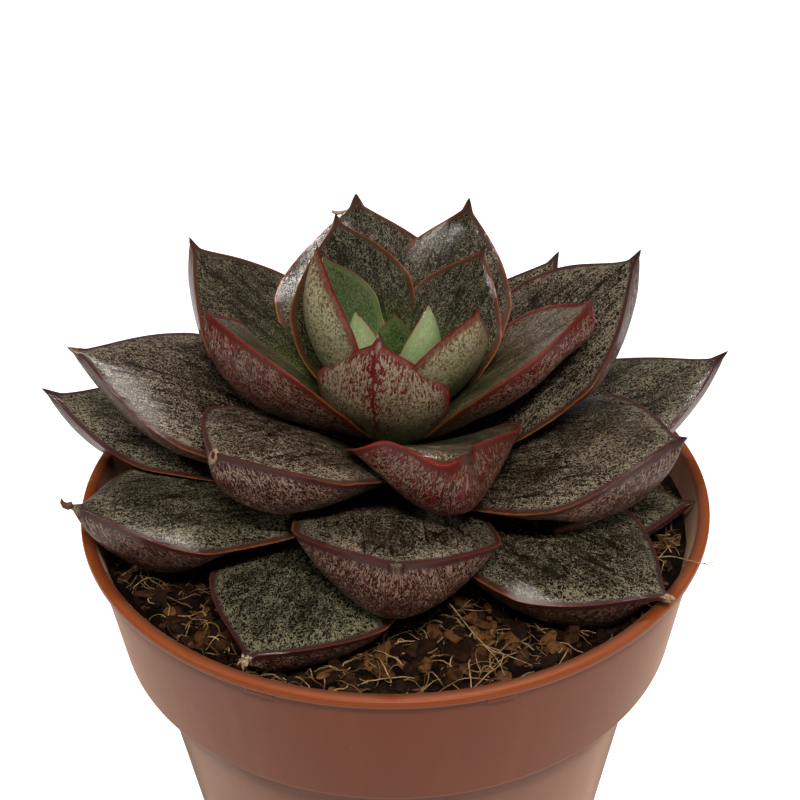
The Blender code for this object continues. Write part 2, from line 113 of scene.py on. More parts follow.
# The same for the inner leaves, then the radius and height of the foot.
INNER_LEAVES = {
    "inner_leaf_01": (-71, 32.6, 27.4, 27, 9, -4, -5, -0.8, 0.9, 0.0, 4.2, 10.6),
    "inner_leaf_02": (157, 36.6, 40, 30, 8, 8, 0, 0.8, 0.5, 1.0, 4.2, 10.0),
    "inner_leaf_03": (85, 34, 30, 25, 7, 8, 0, 0.8, 0.4, 0.5, 4.2, 10.4),
    "inner_leaf_04": (104, 25, 43.5, 32, 7, 13, 1, 0.8, 0.4, 0.8, 3.8, 11.2),
    "inner_leaf_05": (58, 25.7, 43.3, 24.5, 7, 5, 3, 0.8, 0.5, 1.0, 3.8, 11.6),
    "inner_leaf_06": (-10, 31.6, 38.3, 25, 8, 4, -4, -1.0, 0.8, 0.6, 3.8, 11.6),
    "inner_leaf_07": (-169, 29.6, 37.6, 26, 7.5, -4, 12, -1.0, 0.9, 0.4, 3.8, 11.4),
    "inner_leaf_08": (127, 14.7, 45.5, 23.8, 5, 15, -2.5, 0.5, 0.3, 0.0, 3.2, 13.2),
    "inner_leaf_09": (36, 19, 39.5, 22, 5, 0, 3, 0.5, 0.3, 0.4, 3.2, 13.4),
    "inner_leaf_10": (-103, 10.1, 34.6, 21.5, 5, 18, -1, -0.6, 0.6, 0.0, 4.6, 12.0),
    "inner_leaf_11": (-37, 16.4, 39.4, 15.5, 3.2, 8, -16, -0.6, 0.5, 0.3, 3.0, 13.6),
    "inner_leaf_12": (-152, 12.4, 48.5, 10.2, 3.4, 36, 12, -0.8, 0.35, 0.0, 2.6, 14.8),
    "inner_leaf_13": (156, 11.8, 42.1, 17, 3.5, 9, -9, -0.8, 0.1, 0.2, 2.4, 15.2),
    "inner_leaf_14": (-146, 6.8, 36.5, 10, 3.0, 7, 8, -0.6, 0.0, 0.0, 1.6, 15.6),
    "inner_leaf_15": (-25, 6.1, 36.7, 11.2, 3.0, 8, -10, -0.6, 0.0, 0.0, 1.6, 15.6),
    "inner_leaf_16": (85, 4, 32, 8, 2.4, 6, 0, -0.5, 0.0, 0.0, 1.2, 16.0),
    "inner_leaf_17": (-60, 2, 27.5, 6, 2.0, 4, 0, -0.4, 0.0, 0.0, 1.0, 16.2),
    "inner_leaf_18": (150, 2.5, 29.5, 6, 2.0, 4, 0, -0.4, 0.0, 0.0, 1.0, 16.2),
}
# How dried the point is: 0 alive, 1 papery and pale. A cut point ends at a share of the length.
DRIED_POINTS = {
    "fine_leaf_03": 1.0, "fine_leaf_06": 0.85, "fine_leaf_07": 0.5,
    "fine_leaf_09": 0.3, "fine_leaf_14": 0.3,
}
CUT_POINTS = {"fine_leaf_17": 0.95}
# Which look each inner leaf has, in the order of its rows
INNER_FINISH = (
    "inner", "back", "back", "back", "back", "inner", "inner", "back", "back",
    "shield", "pale", "pale", "bud", "bud", "bud", "bud", "bud", "bud",
)
# Where the frame's leaves have their sections, and their points across a section
STATIONS = (0, 0.1, 0.2, 0.32, 0.44, 0.56, 0.66, 0.75, 0.83, 0.9, 0.95, 0.98)
UPPER_FACE = (-1, -0.55, 0, 0.55, 1)
UNDERSIDE = (-0.8, -0.45, 0, 0.45, 0.8)
# How a blade widens and thickens from its neck, as shares of its width, depth and length
NECK_WIDTH = 0.25
FOOT_SWELL = 2.4
FULLNESS = 1.5
TIP_DRAW = 0.3
NECK_DEPTH = 0.24
THICKEST_AT = 0.6
KEEL_FROM = 0.45
TIP_FROM = 0.97
# The fine mesh of a blade
BLADE_RINGS = 84
BLADE_SIDES = 56
FIRST_INNER_SEED = 31
# Unevenness of a leaf: humps on its faces and waves of its margin in millimetres, a share of its
# width, and how far a full hook lifts the point
FACE_HUMPS = 0.35
MARGIN_WAVE = 0.3
WIDTH_WAVE = 0.02
HOOK_RISE = 1.3
# Where the leaf before the heart waves, as shares of its length
WAVE_CREST = 0.74
WAVE_TROUGH = 0.9

# The pot's fine form: its segments, the radius at which its middle is closed, and how far inside
# its outer face the inner wall is taken to begin
POT_SEGMENTS = 160
AXIS_RADIUS = 0.05
INNER_WALL_FROM = 0.6
# Corners of the pot's profile that are rounded, from the last to the first, and their radii
POT_ROUNDINGS = (
    (17, 0.2), (16, 0.3), (14, 0.35), (13, 0.45), (11, 0.35), (10, 0.4), (9, 0.7), (8, 0.25),
)

# The open soil and its litter: radii, depth and sizes in millimetres, the share of the soil's area
# that is reached, and how many chips and fibres are tried
SOIL_RADIUS = 49.0
SOIL_DEPTH = 20.0
STEM_HOLE = 7.0
LITTER_FROM = 14.0
LITTER_SHARE = 0.96
CHIP_TRIES = 3600
CHIP_KINDS = 6
CRUMB_SIZE = 0.58
LARGEST_CHIP = 1.9
FIBRE_TRIES = 1500
FIBRE_STEPS = 10
CHIP_SEED = 5
FIBRE_SEED = 9
FLAKE_SEED = 21
# Rays that look for the soil start at this height
RAY_START = LIP_EDGE + 4
UP = Vector((0, 0, 1))
DOWN = Vector((0, 0, -1))

# Camera and light
CAMERA_PLACE = (0.0, -184.5, LIP_EDGE + 131.5)
CAMERA_AIM = (1.009, 0.0, LIP_EDGE + 17.454)
CAMERA_ROLL = -0.753
CAMERA_LENS = 59.67
SENSOR = 36.0
ROOM_GLOW = 0.06
FLOOR_GLOW = 0.08
FLOOR_SHEEN = 0.42
LIGHT_COLOUR = (1.0, 0.97, 0.92)
# Place and size in metres, and power in watts
LIGHTS = {
    "window": ((-0.6, -0.12, 0.74), (0.045, 0.035), 1.5),
    "front_softbox": ((0.04, -0.48, 0.76), (0.3, 0.08), 5.4),
    "back_softbox": ((0.06, 0.4, 0.82), (0.16, 0.05), 2.4),
    "side_softbox": ((0.78, -0.2, 0.5), (0.1, 0.2), 1.6),
}


# Modelling helpers


def deselect():
    bpy.ops.object.select_all(action="DESELECT")


def make_active(obj):
    deselect()
    obj.hide_set(False)
    obj.select_set(True)
    bpy.context.view_layer.objects.active = obj


def edit(mode="VERT", select="SELECT"):
    """Opens the active mesh for editing, with everything selected, nothing, or what was before."""
    bpy.ops.object.mode_set(mode="EDIT")
    bpy.ops.mesh.select_mode(type=mode)
    if select:
        bpy.ops.mesh.select_all(action=select)


def leave_edit():
    bpy.ops.object.mode_set(mode="OBJECT")


def apply(obj, kind, **settings):
    modifier = obj.modifiers.new(kind.lower(), kind)
    for name, value in settings.items():
        setattr(modifier, name, value)
    make_active(obj)
    bpy.ops.object.modifier_apply(modifier=modifier.name)


def tidy_normals(obj):
    make_active(obj)
    edit()
    bpy.ops.mesh.normals_make_consistent(inside=False)
    leave_edit()


def points_of(obj):
    flat = np.empty(len(obj.data.vertices) * 3, np.float32)
    obj.data.vertices.foreach_get("co", flat)
    return flat.reshape(-1, 3).astype(float) / MM


def place_points(obj, points):
    obj.data.vertices.foreach_set("co", (np.asarray(points) * MM).astype(np.float32).ravel())
    obj.data.update()


def store(obj, name, values, kind="FLOAT"):
    """Keeps a value for each point of a mesh, for its material to read."""
    attribute = obj.data.attributes.new(name, kind, "POINT")
    field = "vector" if kind == "FLOAT_VECTOR" else "value"
    attribute.data.foreach_set(field, np.asarray(values, np.float32).ravel())


def smooth_by_angle(obj, degrees):
    make_active(obj)
    bpy.ops.object.shade_smooth_by_angle(angle=math.radians(degrees))


def settled(obj):
    """Puts a finished piece's place in its mesh, with its object at the origin."""
    make_active(obj)
    bpy.ops.object.transform_apply(location=True, rotation=True, scale=True)


def finished(obj, slot_name, finish, *replaced):
    obj.data.materials.clear()
    obj.data.materials.append(finish)
    for polygon in obj.data.polygons:
        polygon.use_smooth = True
    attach(obj, "root")
    if replaced:
        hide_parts(*replaced)
    return obj


def join(objects, name):
    deselect()
    for obj in objects:
        obj.select_set(True)
    bpy.context.view_layer.objects.active = objects[0]
    bpy.ops.object.join()
    objects[0].name = name
    objects[0].data.name = name
    return objects[0]


# Node helpers


class Graph:
    """Short calls that add nodes to one tree and link them."""

    def __init__(self, tree):
        self.tree = tree

    def node(self, kind, settings=None, **inputs):
        made = self.tree.nodes.new(kind)
        for name, value in (settings or {}).items():
            setattr(made, name, value)
        for name, value in inputs.items():
            self.feed(made.inputs[name.replace("_", " ")], value)
        return made

    def feed(self, socket, value):
        if isinstance(value, bpy.types.NodeSocket):
            self.tree.links.new(value, socket)
        elif isinstance(value, (tuple, list)) and len(value) == 3 and socket.type == "RGBA":
            socket.default_value = (*value, 1.0)
        else:
            socket.default_value = value

    def attribute(self, name, output="Fac"):
        found = self.node("ShaderNodeAttribute", {"attribute_name": name})
        return found.outputs[output]

    def math(self, operation, a, b=0.0):
        made = self.node("ShaderNodeMath", {"operation": operation})
        self.feed(made.inputs[0], a)
        self.feed(made.inputs[1], b)
        return made.outputs[0]

    def plus(self, a, b):
        return self.math("ADD", a, b)

    def minus(self, a, b):
        return self.math("SUBTRACT", a, b)

    def times(self, a, b):
        return self.math("MULTIPLY", a, b)

    def absolute(self, a):
        return self.math("ABSOLUTE", a)

    def vector(self, operation, a, b):
        made = self.node("ShaderNodeVectorMath", {"operation": operation})
        self.feed(made.inputs[0], a)
        self.feed(made.inputs[1], b)
        return made.outputs[0]

    def moved(self, place, by):
        return self.vector("ADD", place, by)

    def stretched(self, place, by):
        return self.vector("MULTIPLY", place, by)

    def axis(self, place, number):
        return self.node("ShaderNodeSeparateXYZ", Vector=place).outputs[number]

    def object_place(self):
        return self.node("ShaderNodeTexCoord").outputs["Object"]

    def step(self, value, low, high, bottom=0.0, top=1.0):
        """0 below low and 1 above high, with an easy rise between. low may be above high."""
        made = self.node("ShaderNodeMapRange", {"interpolation_type": "SMOOTHSTEP"})
        self.feed(made.inputs["Value"], value)
        flipped = low > high
        self.feed(made.inputs["From Min"], min(low, high))
        self.feed(made.inputs["From Max"], max(low, high))
        self.feed(made.inputs["To Min"], top if flipped else bottom)
        self.feed(made.inputs["To Max"], bottom if flipped else top)
        return made.outputs["Result"]

    def mix(self, share, a, b):
        made = self.node("ShaderNodeMix", {"data_type": "RGBA"})
        self.feed(made.inputs[0], share)
        self.feed(made.inputs[6], a)
        self.feed(made.inputs[7], b)
        return made.outputs[2]

    def between(self, share, a, b):
        made = self.node("ShaderNodeMix", {"data_type": "FLOAT"})
        self.feed(made.inputs[0], share)
        self.feed(made.inputs[2], a)
        self.feed(made.inputs[3], b)
        return made.outputs[0]

    def noise(self, place, scale, detail=2.0, roughness=0.5, distortion=0.0):
        made = self.node(
            "ShaderNodeTexNoise", Vector=place, Scale=scale, Detail=detail, Roughness=roughness,
            Distortion=distortion,
        )
        return made.outputs["Fac"]

    def cells(self, place, scale, output="Distance"):
        made = self.node("ShaderNodeTexVoronoi", Vector=place, Scale=scale)
        return made.outputs[output]

    def bands(self, share, stops):
        """A colour that changes along 0 to 1 through (place, colour) stops."""
        made = self.node("ShaderNodeValToRGB")
        ramp = made.color_ramp
        while len(ramp.elements) < len(stops):
            ramp.elements.new(0.5)
        for element, (place, colour) in zip(ramp.elements, stops):
            element.position = place
            element.color = (*colour, 1.0)
        self.feed(made.inputs[0], share)
        return made.outputs[0]

    def bump(self, height, strength, distance):
        made = self.node("ShaderNodeBump", Height=height, Strength=strength, Distance=distance)
        return made.outputs[0]

    def finish(self, shader, colour, rough, relief, strength, distance):
        """Feeds a shader its colour, its roughness and a bump made from a relief."""
        self.feed(shader.inputs["Base Color"], colour)
        self.feed(shader.inputs["Roughness"], rough)
        self.feed(shader.inputs["Normal"], self.bump(relief, strength, distance))


def group(name, numbers, outputs):
    """An empty node group that takes a place and named numbers, and its input and output nodes."""
    tree = bpy.data.node_groups.new(name, "ShaderNodeTree")
    tree.interface.new_socket("Place", in_out="INPUT", socket_type="NodeSocketVector")
    for label, value in numbers.items():
        socket = tree.interface.new_socket(label, in_out="INPUT", socket_type="NodeSocketFloat")
        socket.default_value = value
    for label in outputs:
        tree.interface.new_socket(label, in_out="OUTPUT", socket_type="NodeSocketFloat")
    return tree, tree.nodes.new("NodeGroupInput"), tree.nodes.new("NodeGroupOutput")


def placed_group(graph, tree, **values):
    return graph.node("ShaderNodeGroup", {"node_tree": tree}, **values)


def new_material(name, **constants):
    """A material with one Principled shader, its constants set on the shader's own sockets."""
    made = bpy.data.materials.new(name)
    made.use_nodes = True
    shader = made.node_tree.nodes["Principled BSDF"]
    for label, value in constants.items():
        shader.inputs[label.replace("_", " ")].default_value = value
    return made, Graph(made.node_tree), shader


def srgb(red, green, blue):
    """Linear values of a colour given as 0 to 255 display values."""
    shares = [v / 255 for v in (red, green, blue)]
    return tuple(v / 12.92 if v <= 0.04045 else ((v + 0.055) / 1.055) ** 2.4 for v in shares)


# Shared effects


def fleck_group():
    """Fine wavering flecks along the contours of a noise, wider where the cover is high."""
    numbers = {"Scale": 2.4, "Cover": 0.5, "Patch Scale": 0.16, "Patchiness": 0.3}
    tree, start, end = group("wavering_flecks", numbers, ("Mask", "Patch"))
    g = Graph(tree)
    place, scale = start.outputs["Place"], start.outputs["Scale"]
    wave = g.noise(place, scale, 1.2, 0.5, 0.9)
    patch = g.noise(place, start.outputs["Patch Scale"], 2.5, 0.55)
    push = g.times(g.minus(patch, 0.5), start.outputs["Patchiness"])
    ridge = g.absolute(g.minus(wave, 0.5))
    blots = g.times(g.minus(g.noise(place, 1.1, 2.0), 0.5), 0.35)
    reach = g.plus(g.plus(start.outputs["Cover"], push), blots)
    mask = g.step(g.minus(g.times(reach, 0.13), ridge), -0.014, 0.014)
    tree.links.new(mask, end.inputs["Mask"])
    tree.links.new(patch, end.inputs["Patch"])
    return tree


def speck_group():
    """Small separate specks of dust, grit or pigment."""
    tree, start, end = group("scattered_specks", {"Scale": 1.0, "Size": 0.2, "Share": 0.3}, ("Mask",))
    g = Graph(tree)
    place, scale = start.outputs["Place"], start.outputs["Scale"]
    reach = g.cells(place, scale)
    pick = g.node("ShaderNodeSeparateColor", Color=g.cells(place, scale, "Color")).outputs[0]
    size = g.times(start.outputs["Size"], g.plus(pick, 0.4))
    inside = g.minus(size, reach)
    mask = g.step(inside, 0.0, 0.06)
    chosen = g.math("LESS_THAN", pick, start.outputs["Share"])
    tree.links.new(g.times(mask, chosen), end.inputs["Mask"])
    return tree


FLECKS = fleck_group()
SPECKS = speck_group()


def specks_over(graph, place, scale, size, share):
    return placed_group(graph, SPECKS, Place=place, Scale=scale, Size=size, Share=share).outputs["Mask"]


# Finishes

DRIED_BROWN = srgb(112, 72, 44)
DRIED_PALE = srgb(204, 186, 158)
SHEEN_TINT = (1.0, 0.62, 0.42, 1.0)


def linear(look):
    """A look's values by name, with its display colours made linear, those of its margin too."""
    made = SimpleNamespace(**look)
    for key, value in look.items():
        if isinstance(value, tuple):
            setattr(made, key, srgb(*value))
    made.margin = [(place, srgb(*colour)) for place, colour in look["margin"]]
    return made


def leaf_material(name, look):
    """Waxy leaf skin: pale flecks and crimson streaks over a ground that greens to the foot, where
    painted shade darkens it.
    """
    look = linear(look)
    made, g, shader = new_material(
        name, IOR=1.2, Coat_Weight=look.coat, Coat_Roughness=look.coat_rough, Coat_IOR=1.45
    )
    place = g.attribute("blade", "Vector")
    across = g.axis(place, 1)
    edge, share, red = g.attribute("edge"), g.attribute("share"), g.attribute("red")
    under = g.step(g.attribute("side"), 0.05, -0.05)
    below = g.moved(place, (0.0, 0.0, 40.0))

    # Towards the foot the upper ground greens, which is the leaf's own colour, and its pale flecks thin
    # out, partly as painted shade.
    foot_green_and_shade = g.step(share, look.green_to, 0.04)
    upper = g.mix(red, look.upper_green, look.upper_red)
    upper = g.mix(g.times(foot_green_and_shade, look.base_green), upper, look.upper_base)
    # Towards the foot the underside takes its base colour and loses pale flecks: more green on the
    # young looks, near black on the outer and inner ones as painted shade.
    under_foot = g.step(share, look.under_foot_to, 0.1)
    under_ground = g.mix(under_foot, look.under, look.under_base)
    ground = g.mix(under, upper, under_ground)
    tone = g.noise(g.stretched(place, (0.6, 1.0, 1.0)), 0.32, 5.0, 0.62)
    dark = g.mix(under, look.upper_dark, look.under_dark)
    ground = g.mix(g.step(tone, 0.42, 0.68, top=0.6), ground, dark)

    folds = g.noise(g.stretched(place, (0.06, 0.9, 1.0)), 0.8, 3.0, 0.55)
    bends = g.stretched(place, (0.055, 0.42, 1.0))
    # The creases are painted, not modelled: the upper faces lose pale flecks along them as painted
    # shade.
    crease = g.absolute(g.minus(g.noise(bends, 1.0, 2.0, 0.5, 0.8), 0.47))
    crease = g.times(g.step(crease, 0.022, 0.004), g.step(under, 1.0, 0.0))
    # Pale flecks gather on the ridges of the folds as a painted highlight, and thin out in their
    # troughs as painted shade.
    painted_crease_shade = g.times(crease, 0.3)
    painted_ridge_light = g.times(g.minus(folds, 0.5), 0.55)
    # More pale flecks near the margins: partly the leaf's own pattern, partly painted light where the
    # margins catch it.
    near_edge = g.step(edge, 8.0, 1.0)
    upper_cover = g.plus(look.cover, g.times(near_edge, look.edge_cover))
    upper_cover = g.minus(upper_cover, g.times(foot_green_and_shade, look.foot_bare))
    under_cover = g.minus(look.under_cover, g.times(under_foot, 0.25))
    # On the undersides as well: more flecks near the margin as painted light, and fewer further in as
    # painted shade.
    under_cover = g.plus(under_cover, g.step(edge, 9.0, 2.0, bottom=-0.14, top=0.06))
    fine = placed_group(
        g, FLECKS, Place=g.stretched(place, (0.8, 1.0, 1.0)), Scale=look.fleck_scale,
        Cover=g.plus(g.between(under, upper_cover, under_cover), g.minus(painted_ridge_light, painted_crease_shade)),
        Patch_Scale=0.17, Patchiness=look.patchy,
    )
    inside = g.step(edge, 0.6, 1.3)
    fleck = g.times(fine.outputs["Mask"], inside)
    fleck_colour = g.mix(red, look.fleck_green, look.fleck_red)
    fleck_colour = g.mix(under, fleck_colour, look.fleck_under)
    strength = g.between(under, look.fleck_strength, look.under_strength)
    colour = g.mix(g.times(fleck, strength), ground, fleck_colour)

    streaks = g.noise(g.stretched(below, (0.6, 1.0, 1.0)), look.streak_scale, 2.0, 0.5, 0.5)
    by_edge = g.times(g.step(edge, 3.2, 0.5), 0.09)
    by_keel = g.times(g.step(g.absolute(across), 2.4, 0.2), look.keel_streaks)
    level = g.plus(streaks, g.plus(by_edge, by_keel))
    level = g.plus(level, g.step(share, 0.3, 0.9, bottom=-0.05, top=0.04))
    streak = g.times(g.step(level, look.streak_from, look.streak_from + 0.05), under)
    colour = g.mix(g.times(streak, look.streak_strength), colour, look.streak)

    band = g.times(g.step(edge, 1.7, 0.8), look.band_strength)
    colour = g.mix(band, colour, look.band)
    line_colour = g.bands(share, look.margin)
    wobble = g.times(g.minus(g.noise(place, 0.9, 3.0), 0.5), look.line * 1.6)
    line_edge = g.plus(edge, wobble)
    flush = g.times(g.step(edge, look.flush_to, 0.1), look.flush)
    colour = g.mix(flush, colour, line_colour)
    colour = g.mix(g.step(line_edge, look.line, look.line * 0.5), colour, line_colour)
    keel_off = g.absolute(g.plus(across, g.times(wobble, 1.5)))
    keel = g.times(g.step(keel_off, look.keel, look.keel * 0.4), under)
    keel = g.times(keel, g.step(share, 0.2, 0.45))
    colour = g.mix(g.times(keel, look.keel_strength), colour, look.streak)
    colour = g.mix(g.step(share, 0.965, 0.985), colour, look.point)
    fray = g.plus(share, g.times(g.minus(g.noise(place, 1.6, 3.0), 0.5), 0.05))
    dried = g.times(g.step(fray, 0.955, 0.972), g.attribute("dry"))
    dried_tone = g.step(g.noise(place, 3.0, 3.0), 0.4, 0.6)
    colour = g.mix(dried, colour, g.mix(dried_tone, DRIED_BROWN, DRIED_PALE))

    patch = fine.outputs["Patch"]
    rough = g.between(fleck, look.gloss, look.gloss + 0.12)
    rough = g.plus(rough, g.step(patch, 0.35, 0.65, bottom=-0.08, top=0.1))
    grain = g.noise(place, 4.2, 3.0, 0.65)
    dimples = g.noise(place, 1.1, 2.0, 0.5)
    skin = g.plus(g.times(grain, 0.42), g.times(dimples, 0.5))
    skin = g.plus(skin, g.times(folds, look.folds))
    height = g.plus(skin, g.times(fleck, 0.12))
    g.finish(shader, colour, rough, height, look.bump, 0.0002)
    g.feed(shader.inputs["Coat Normal"], g.bump(skin, look.bump * 0.75, 0.0002))
    return made


OUTER_LOOK = dict(
    coat=0.36, coat_rough=0.1, gloss=0.45, bump=0.45, folds=1.2,
    upper_green=(13, 14, 4), upper_red=(33, 16, 9), upper_base=(20, 27, 8),
    upper_dark=(7, 5, 2), base_green=0.85, green_to=0.5,
    under=(46, 17, 11), under_base=(18, 6, 3), under_dark=(28, 8, 5), under_foot_to=0.6,
    band=(66, 44, 42), band_strength=0.65,
    fleck_scale=2.1, cover=0.24, edge_cover=0.26, foot_bare=0.2, under_cover=0.42,
    patchy=0.7,
    fleck_green=(130, 124, 98), fleck_red=(150, 132, 114), fleck_under=(162, 130, 112),
    fleck_strength=0.85, under_strength=0.9,
    streak=(64, 12, 10), streak_scale=1.7, streak_from=0.565, streak_strength=0.6,
    margin=[(0.0, (124, 94, 36)), (0.45, (132, 74, 34)), (0.75, (92, 38, 28)), (1.0, (64, 26, 24))],
    line=0.38, flush=0.15, flush_to=1.4,
    keel=0.25, keel_strength=0.2, keel_streaks=0.03, point=(58, 34, 26),
)
INNER_LOOK = dict(
    OUTER_LOOK,
    coat=0.5, base_green=1.0, green_to=0.7,
    upper_green=(46, 56, 26), upper_red=(60, 44, 30), upper_base=(54, 76, 28),
    upper_dark=(34, 26, 15),
    under=(50, 17, 11), under_base=(24, 9, 5), under_dark=(34, 8, 6), band=(78, 34, 24),
    fleck_under=(150, 120, 100), under_cover=0.52, under_strength=0.7,
    streak=(88, 8, 12), streak_scale=2.2, streak_from=0.55, streak_strength=0.8,
    margin=[(0.0, (120, 112, 44)), (0.35, (156, 80, 44)), (0.65, (140, 44, 34)), (1.0, (96, 22, 22))],
    line=0.5, flush=0.2, keel_streaks=0.05,
)
BACK_LOOK = dict(
    OUTER_LOOK,
    coat=0.75, coat_rough=0.08,
    upper_green=(17, 24, 6), upper_red=(40, 28, 18), upper_base=(66, 88, 20),
    upper_dark=(16, 14, 6), base_green=1.0, green_to=0.66, patchy=0.5,
    cover=0.28, edge_cover=0.06, fleck_strength=0.6, band=(72, 50, 36),
    margin=[(0.0, (130, 120, 50)), (0.4, (150, 92, 56)), (0.75, (136, 66, 46)), (1.0, (100, 44, 36))],
    line=0.32, flush=0.2,
)
SHIELD_LOOK = dict(
    INNER_LOOK,
    upper_green=(70, 92, 44), upper_red=(84, 86, 50), upper_dark=(60, 62, 34),
    under=(98, 78, 62), under_base=(84, 92, 60), under_dark=(84, 64, 50), under_foot_to=0.9,
    fleck_under=(150, 136, 112), under_cover=0.62, under_strength=0.75, band=(104, 58, 48),
    streak=(84, 8, 12), streak_from=0.555, streak_strength=0.95, streak_scale=2.6,
    margin=[(0.0, (130, 96, 62)), (0.35, (132, 40, 36)), (0.7, (112, 22, 24)), (1.0, (88, 16, 18))],
    keel=0.36, keel_strength=0.95, keel_streaks=0.08, flush=0.15, point=(92, 34, 26),
)
PALE_LOOK = dict(
    SHIELD_LOOK,
    under=(110, 104, 74), under_base=(102, 116, 70), under_dark=(94, 92, 62),
    fleck_under=(162, 154, 124), streak_from=0.6, streak_strength=0.7, keel_streaks=0.0,
    keel_strength=0.1, line=0.44,
)
BUD_LOOK = dict(
    SHIELD_LOOK,
    upper_green=(46, 70, 26), upper_base=(64, 104, 32), upper_dark=(34, 50, 20),
    under=(146, 166, 116), under_base=(122, 158, 84), under_dark=(126, 146, 98),
    fleck_under=(170, 180, 142), fleck_green=(90, 104, 62), under_cover=0.5, under_strength=0.5,
    streak_strength=0.12, keel_strength=0.0, band=(128, 138, 92), band_strength=0.3,
    margin=[(0.0, (120, 150, 80)), (0.6, (140, 130, 88)), (0.85, (124, 66, 56)), (1.0, (80, 30, 30))],
    line=0.24, flush=0.1, point=(74, 32, 28),
)

LOOKS = {
    "outer": OUTER_LOOK, "inner": INNER_LOOK, "back": BACK_LOOK,
    "shield": SHIELD_LOOK, "pale": PALE_LOOK, "bud": BUD_LOOK,
}


def pot_material():
    """Moulded terracotta-brown plastic with a dusty haze, fine specks and faint flow marks, painted
    light on the lip and painted shade on the inner wall.
    """
    made, g, shader = new_material(
        "terracotta_plastic", IOR=1.33, Sheen_Weight=0.35, Sheen_Roughness=0.35, Sheen_Tint=SHEEN_TINT
    )
    place = g.object_place()
    haze = g.noise(place, 38.0, 4.0, 0.6)
    streaks = g.noise(g.stretched(place, (1.0, 1.0, 0.12)), 160.0, 3.0, 0.6)
    specks = specks_over(g, place, 420.0, 0.2, 0.09)
    dark = specks_over(g, g.moved(place, (0.3, 0.1, 0.7)), 300.0, 0.16, 0.05)
    height, inner = g.axis(place, 2), g.attribute("inner")
    colour = g.mix(g.step(haze, 0.35, 0.7, top=0.5), srgb(114, 50, 18), srgb(128, 62, 28))
    colour = g.mix(g.step(streaks, 0.5, 0.75, top=0.25), colour, srgb(140, 78, 46))
    # Painted light: the lip, from its lower edge up, takes a lighter orange for the light that falls on
    # it from above.
    rim = g.step(height, (LIP_EDGE - 0.2) * MM, (LIP_EDGE + 0.3) * MM)
    colour = g.mix(rim, colour, srgb(138, 64, 22))
    # Painted shade: the inner wall is darkened for the shade inside the pot.
    colour = g.mix(g.times(inner, 0.75), colour, srgb(70, 36, 20))
    soil_line = g.step(g.noise(place, 220.0, 4.0, 0.7), 0.52, 0.66)
    soiled = g.times(g.step(height, 0.0885, 0.08), inner)
    colour = g.mix(g.times(soiled, g.times(soil_line, 0.8)), colour, srgb(46, 26, 16))
    colour = g.mix(g.times(specks, 0.55), colour, srgb(196, 158, 132))
    colour = g.mix(g.times(dark, 0.6), colour, srgb(70, 38, 26))
    rough = g.minus(g.plus(0.4, g.times(haze, 0.2)), g.times(rim, 0.1))
    rough = g.plus(rough, g.times(specks, 0.2))
    relief = g.plus(g.times(g.noise(place, 900.0, 2.0), 0.5), g.times(specks, 0.8))
    relief = g.plus(relief, g.times(streaks, 0.6))
    g.finish(shader, colour, rough, relief, 0.25, 0.0001)
    return made


def soil_material():
    """Damp peat: brown and tan on the crumbs, with painted shade, near black, at the low points of its
    bump.
    """
    made, g, shader = new_material("peat", IOR=1.15)
    place = g.object_place()
    # The crumbs noise is also the height of the bump: its low points are painted near black as shade,
    # and its high points brown and tan.
    crumbs = g.noise(place, 520.0, 5.0, 0.7)
    coarse = g.noise(place, 120.0, 3.0, 0.6)
    painted_shade_pits, peat = (0.3, srgb(2, 1, 0)), (0.52, srgb(16, 8, 4))
    tones = [painted_shade_pits, peat, (0.66, srgb(48, 28, 14)), (0.8, srgb(98, 64, 34))]
    colour = g.mix(g.step(coarse, 0.42, 0.62, top=0.6), g.bands(crumbs, tones), srgb(14, 8, 5))
    colour = g.mix(specks_over(g, place, 700.0, 0.3, 0.12), colour, srgb(138, 100, 64))
    rough = g.step(coarse, 0.3, 0.7, bottom=0.75, top=0.98)
    g.finish(shader, colour, rough, g.plus(crumbs, g.times(coarse, 0.8)), 0.9, 0.0008)
    return made


def litter_material(name, dark, light, scale):
    """Bark chips and fibres, each with its own tone, streaked along the grain."""
    made, g, shader = new_material(name, IOR=1.2)
    place = g.object_place()
    grain = g.noise(place, scale, 4.0, 0.65)
    colour = g.mix(g.attribute("tone"), dark, light)
    colour = g.mix(g.step(grain, 0.4, 0.7, top=0.75), colour, tuple(0.35 * v for v in dark))
    specks = g.times(specks_over(g, place, scale * 0.9, 0.25, 0.2), 0.5)
    colour = g.mix(specks, colour, tuple(min(1.3 * v, 1) for v in light))
    g.finish(shader, colour, g.step(grain, 0.2, 0.8, bottom=0.7, top=0.95), grain, 0.6, 0.0003)
    return made


def stem_material():
    """Woody stem with rings of old leaf scars."""
    made, g, shader = new_material("woody_stem", IOR=1.4)
    place = g.object_place()
    rings = g.noise(g.stretched(place, (0.4, 0.4, 2.2)), 420.0, 4.0, 0.6)
    blots = g.noise(place, 260.0, 3.0, 0.6)
    tones = [(0.3, srgb(30, 20, 12)), (0.55, srgb(74, 54, 34)), (0.75, srgb(118, 94, 62))]
    colour = g.bands(rings, tones)
    colour = g.mix(g.step(blots, 0.5, 0.7, top=0.6), colour, srgb(52, 58, 30))
    g.finish(shader, colour, g.step(rings, 0.3, 0.7, bottom=0.6, top=0.9), rings, 0.8, 0.0004)
    return made


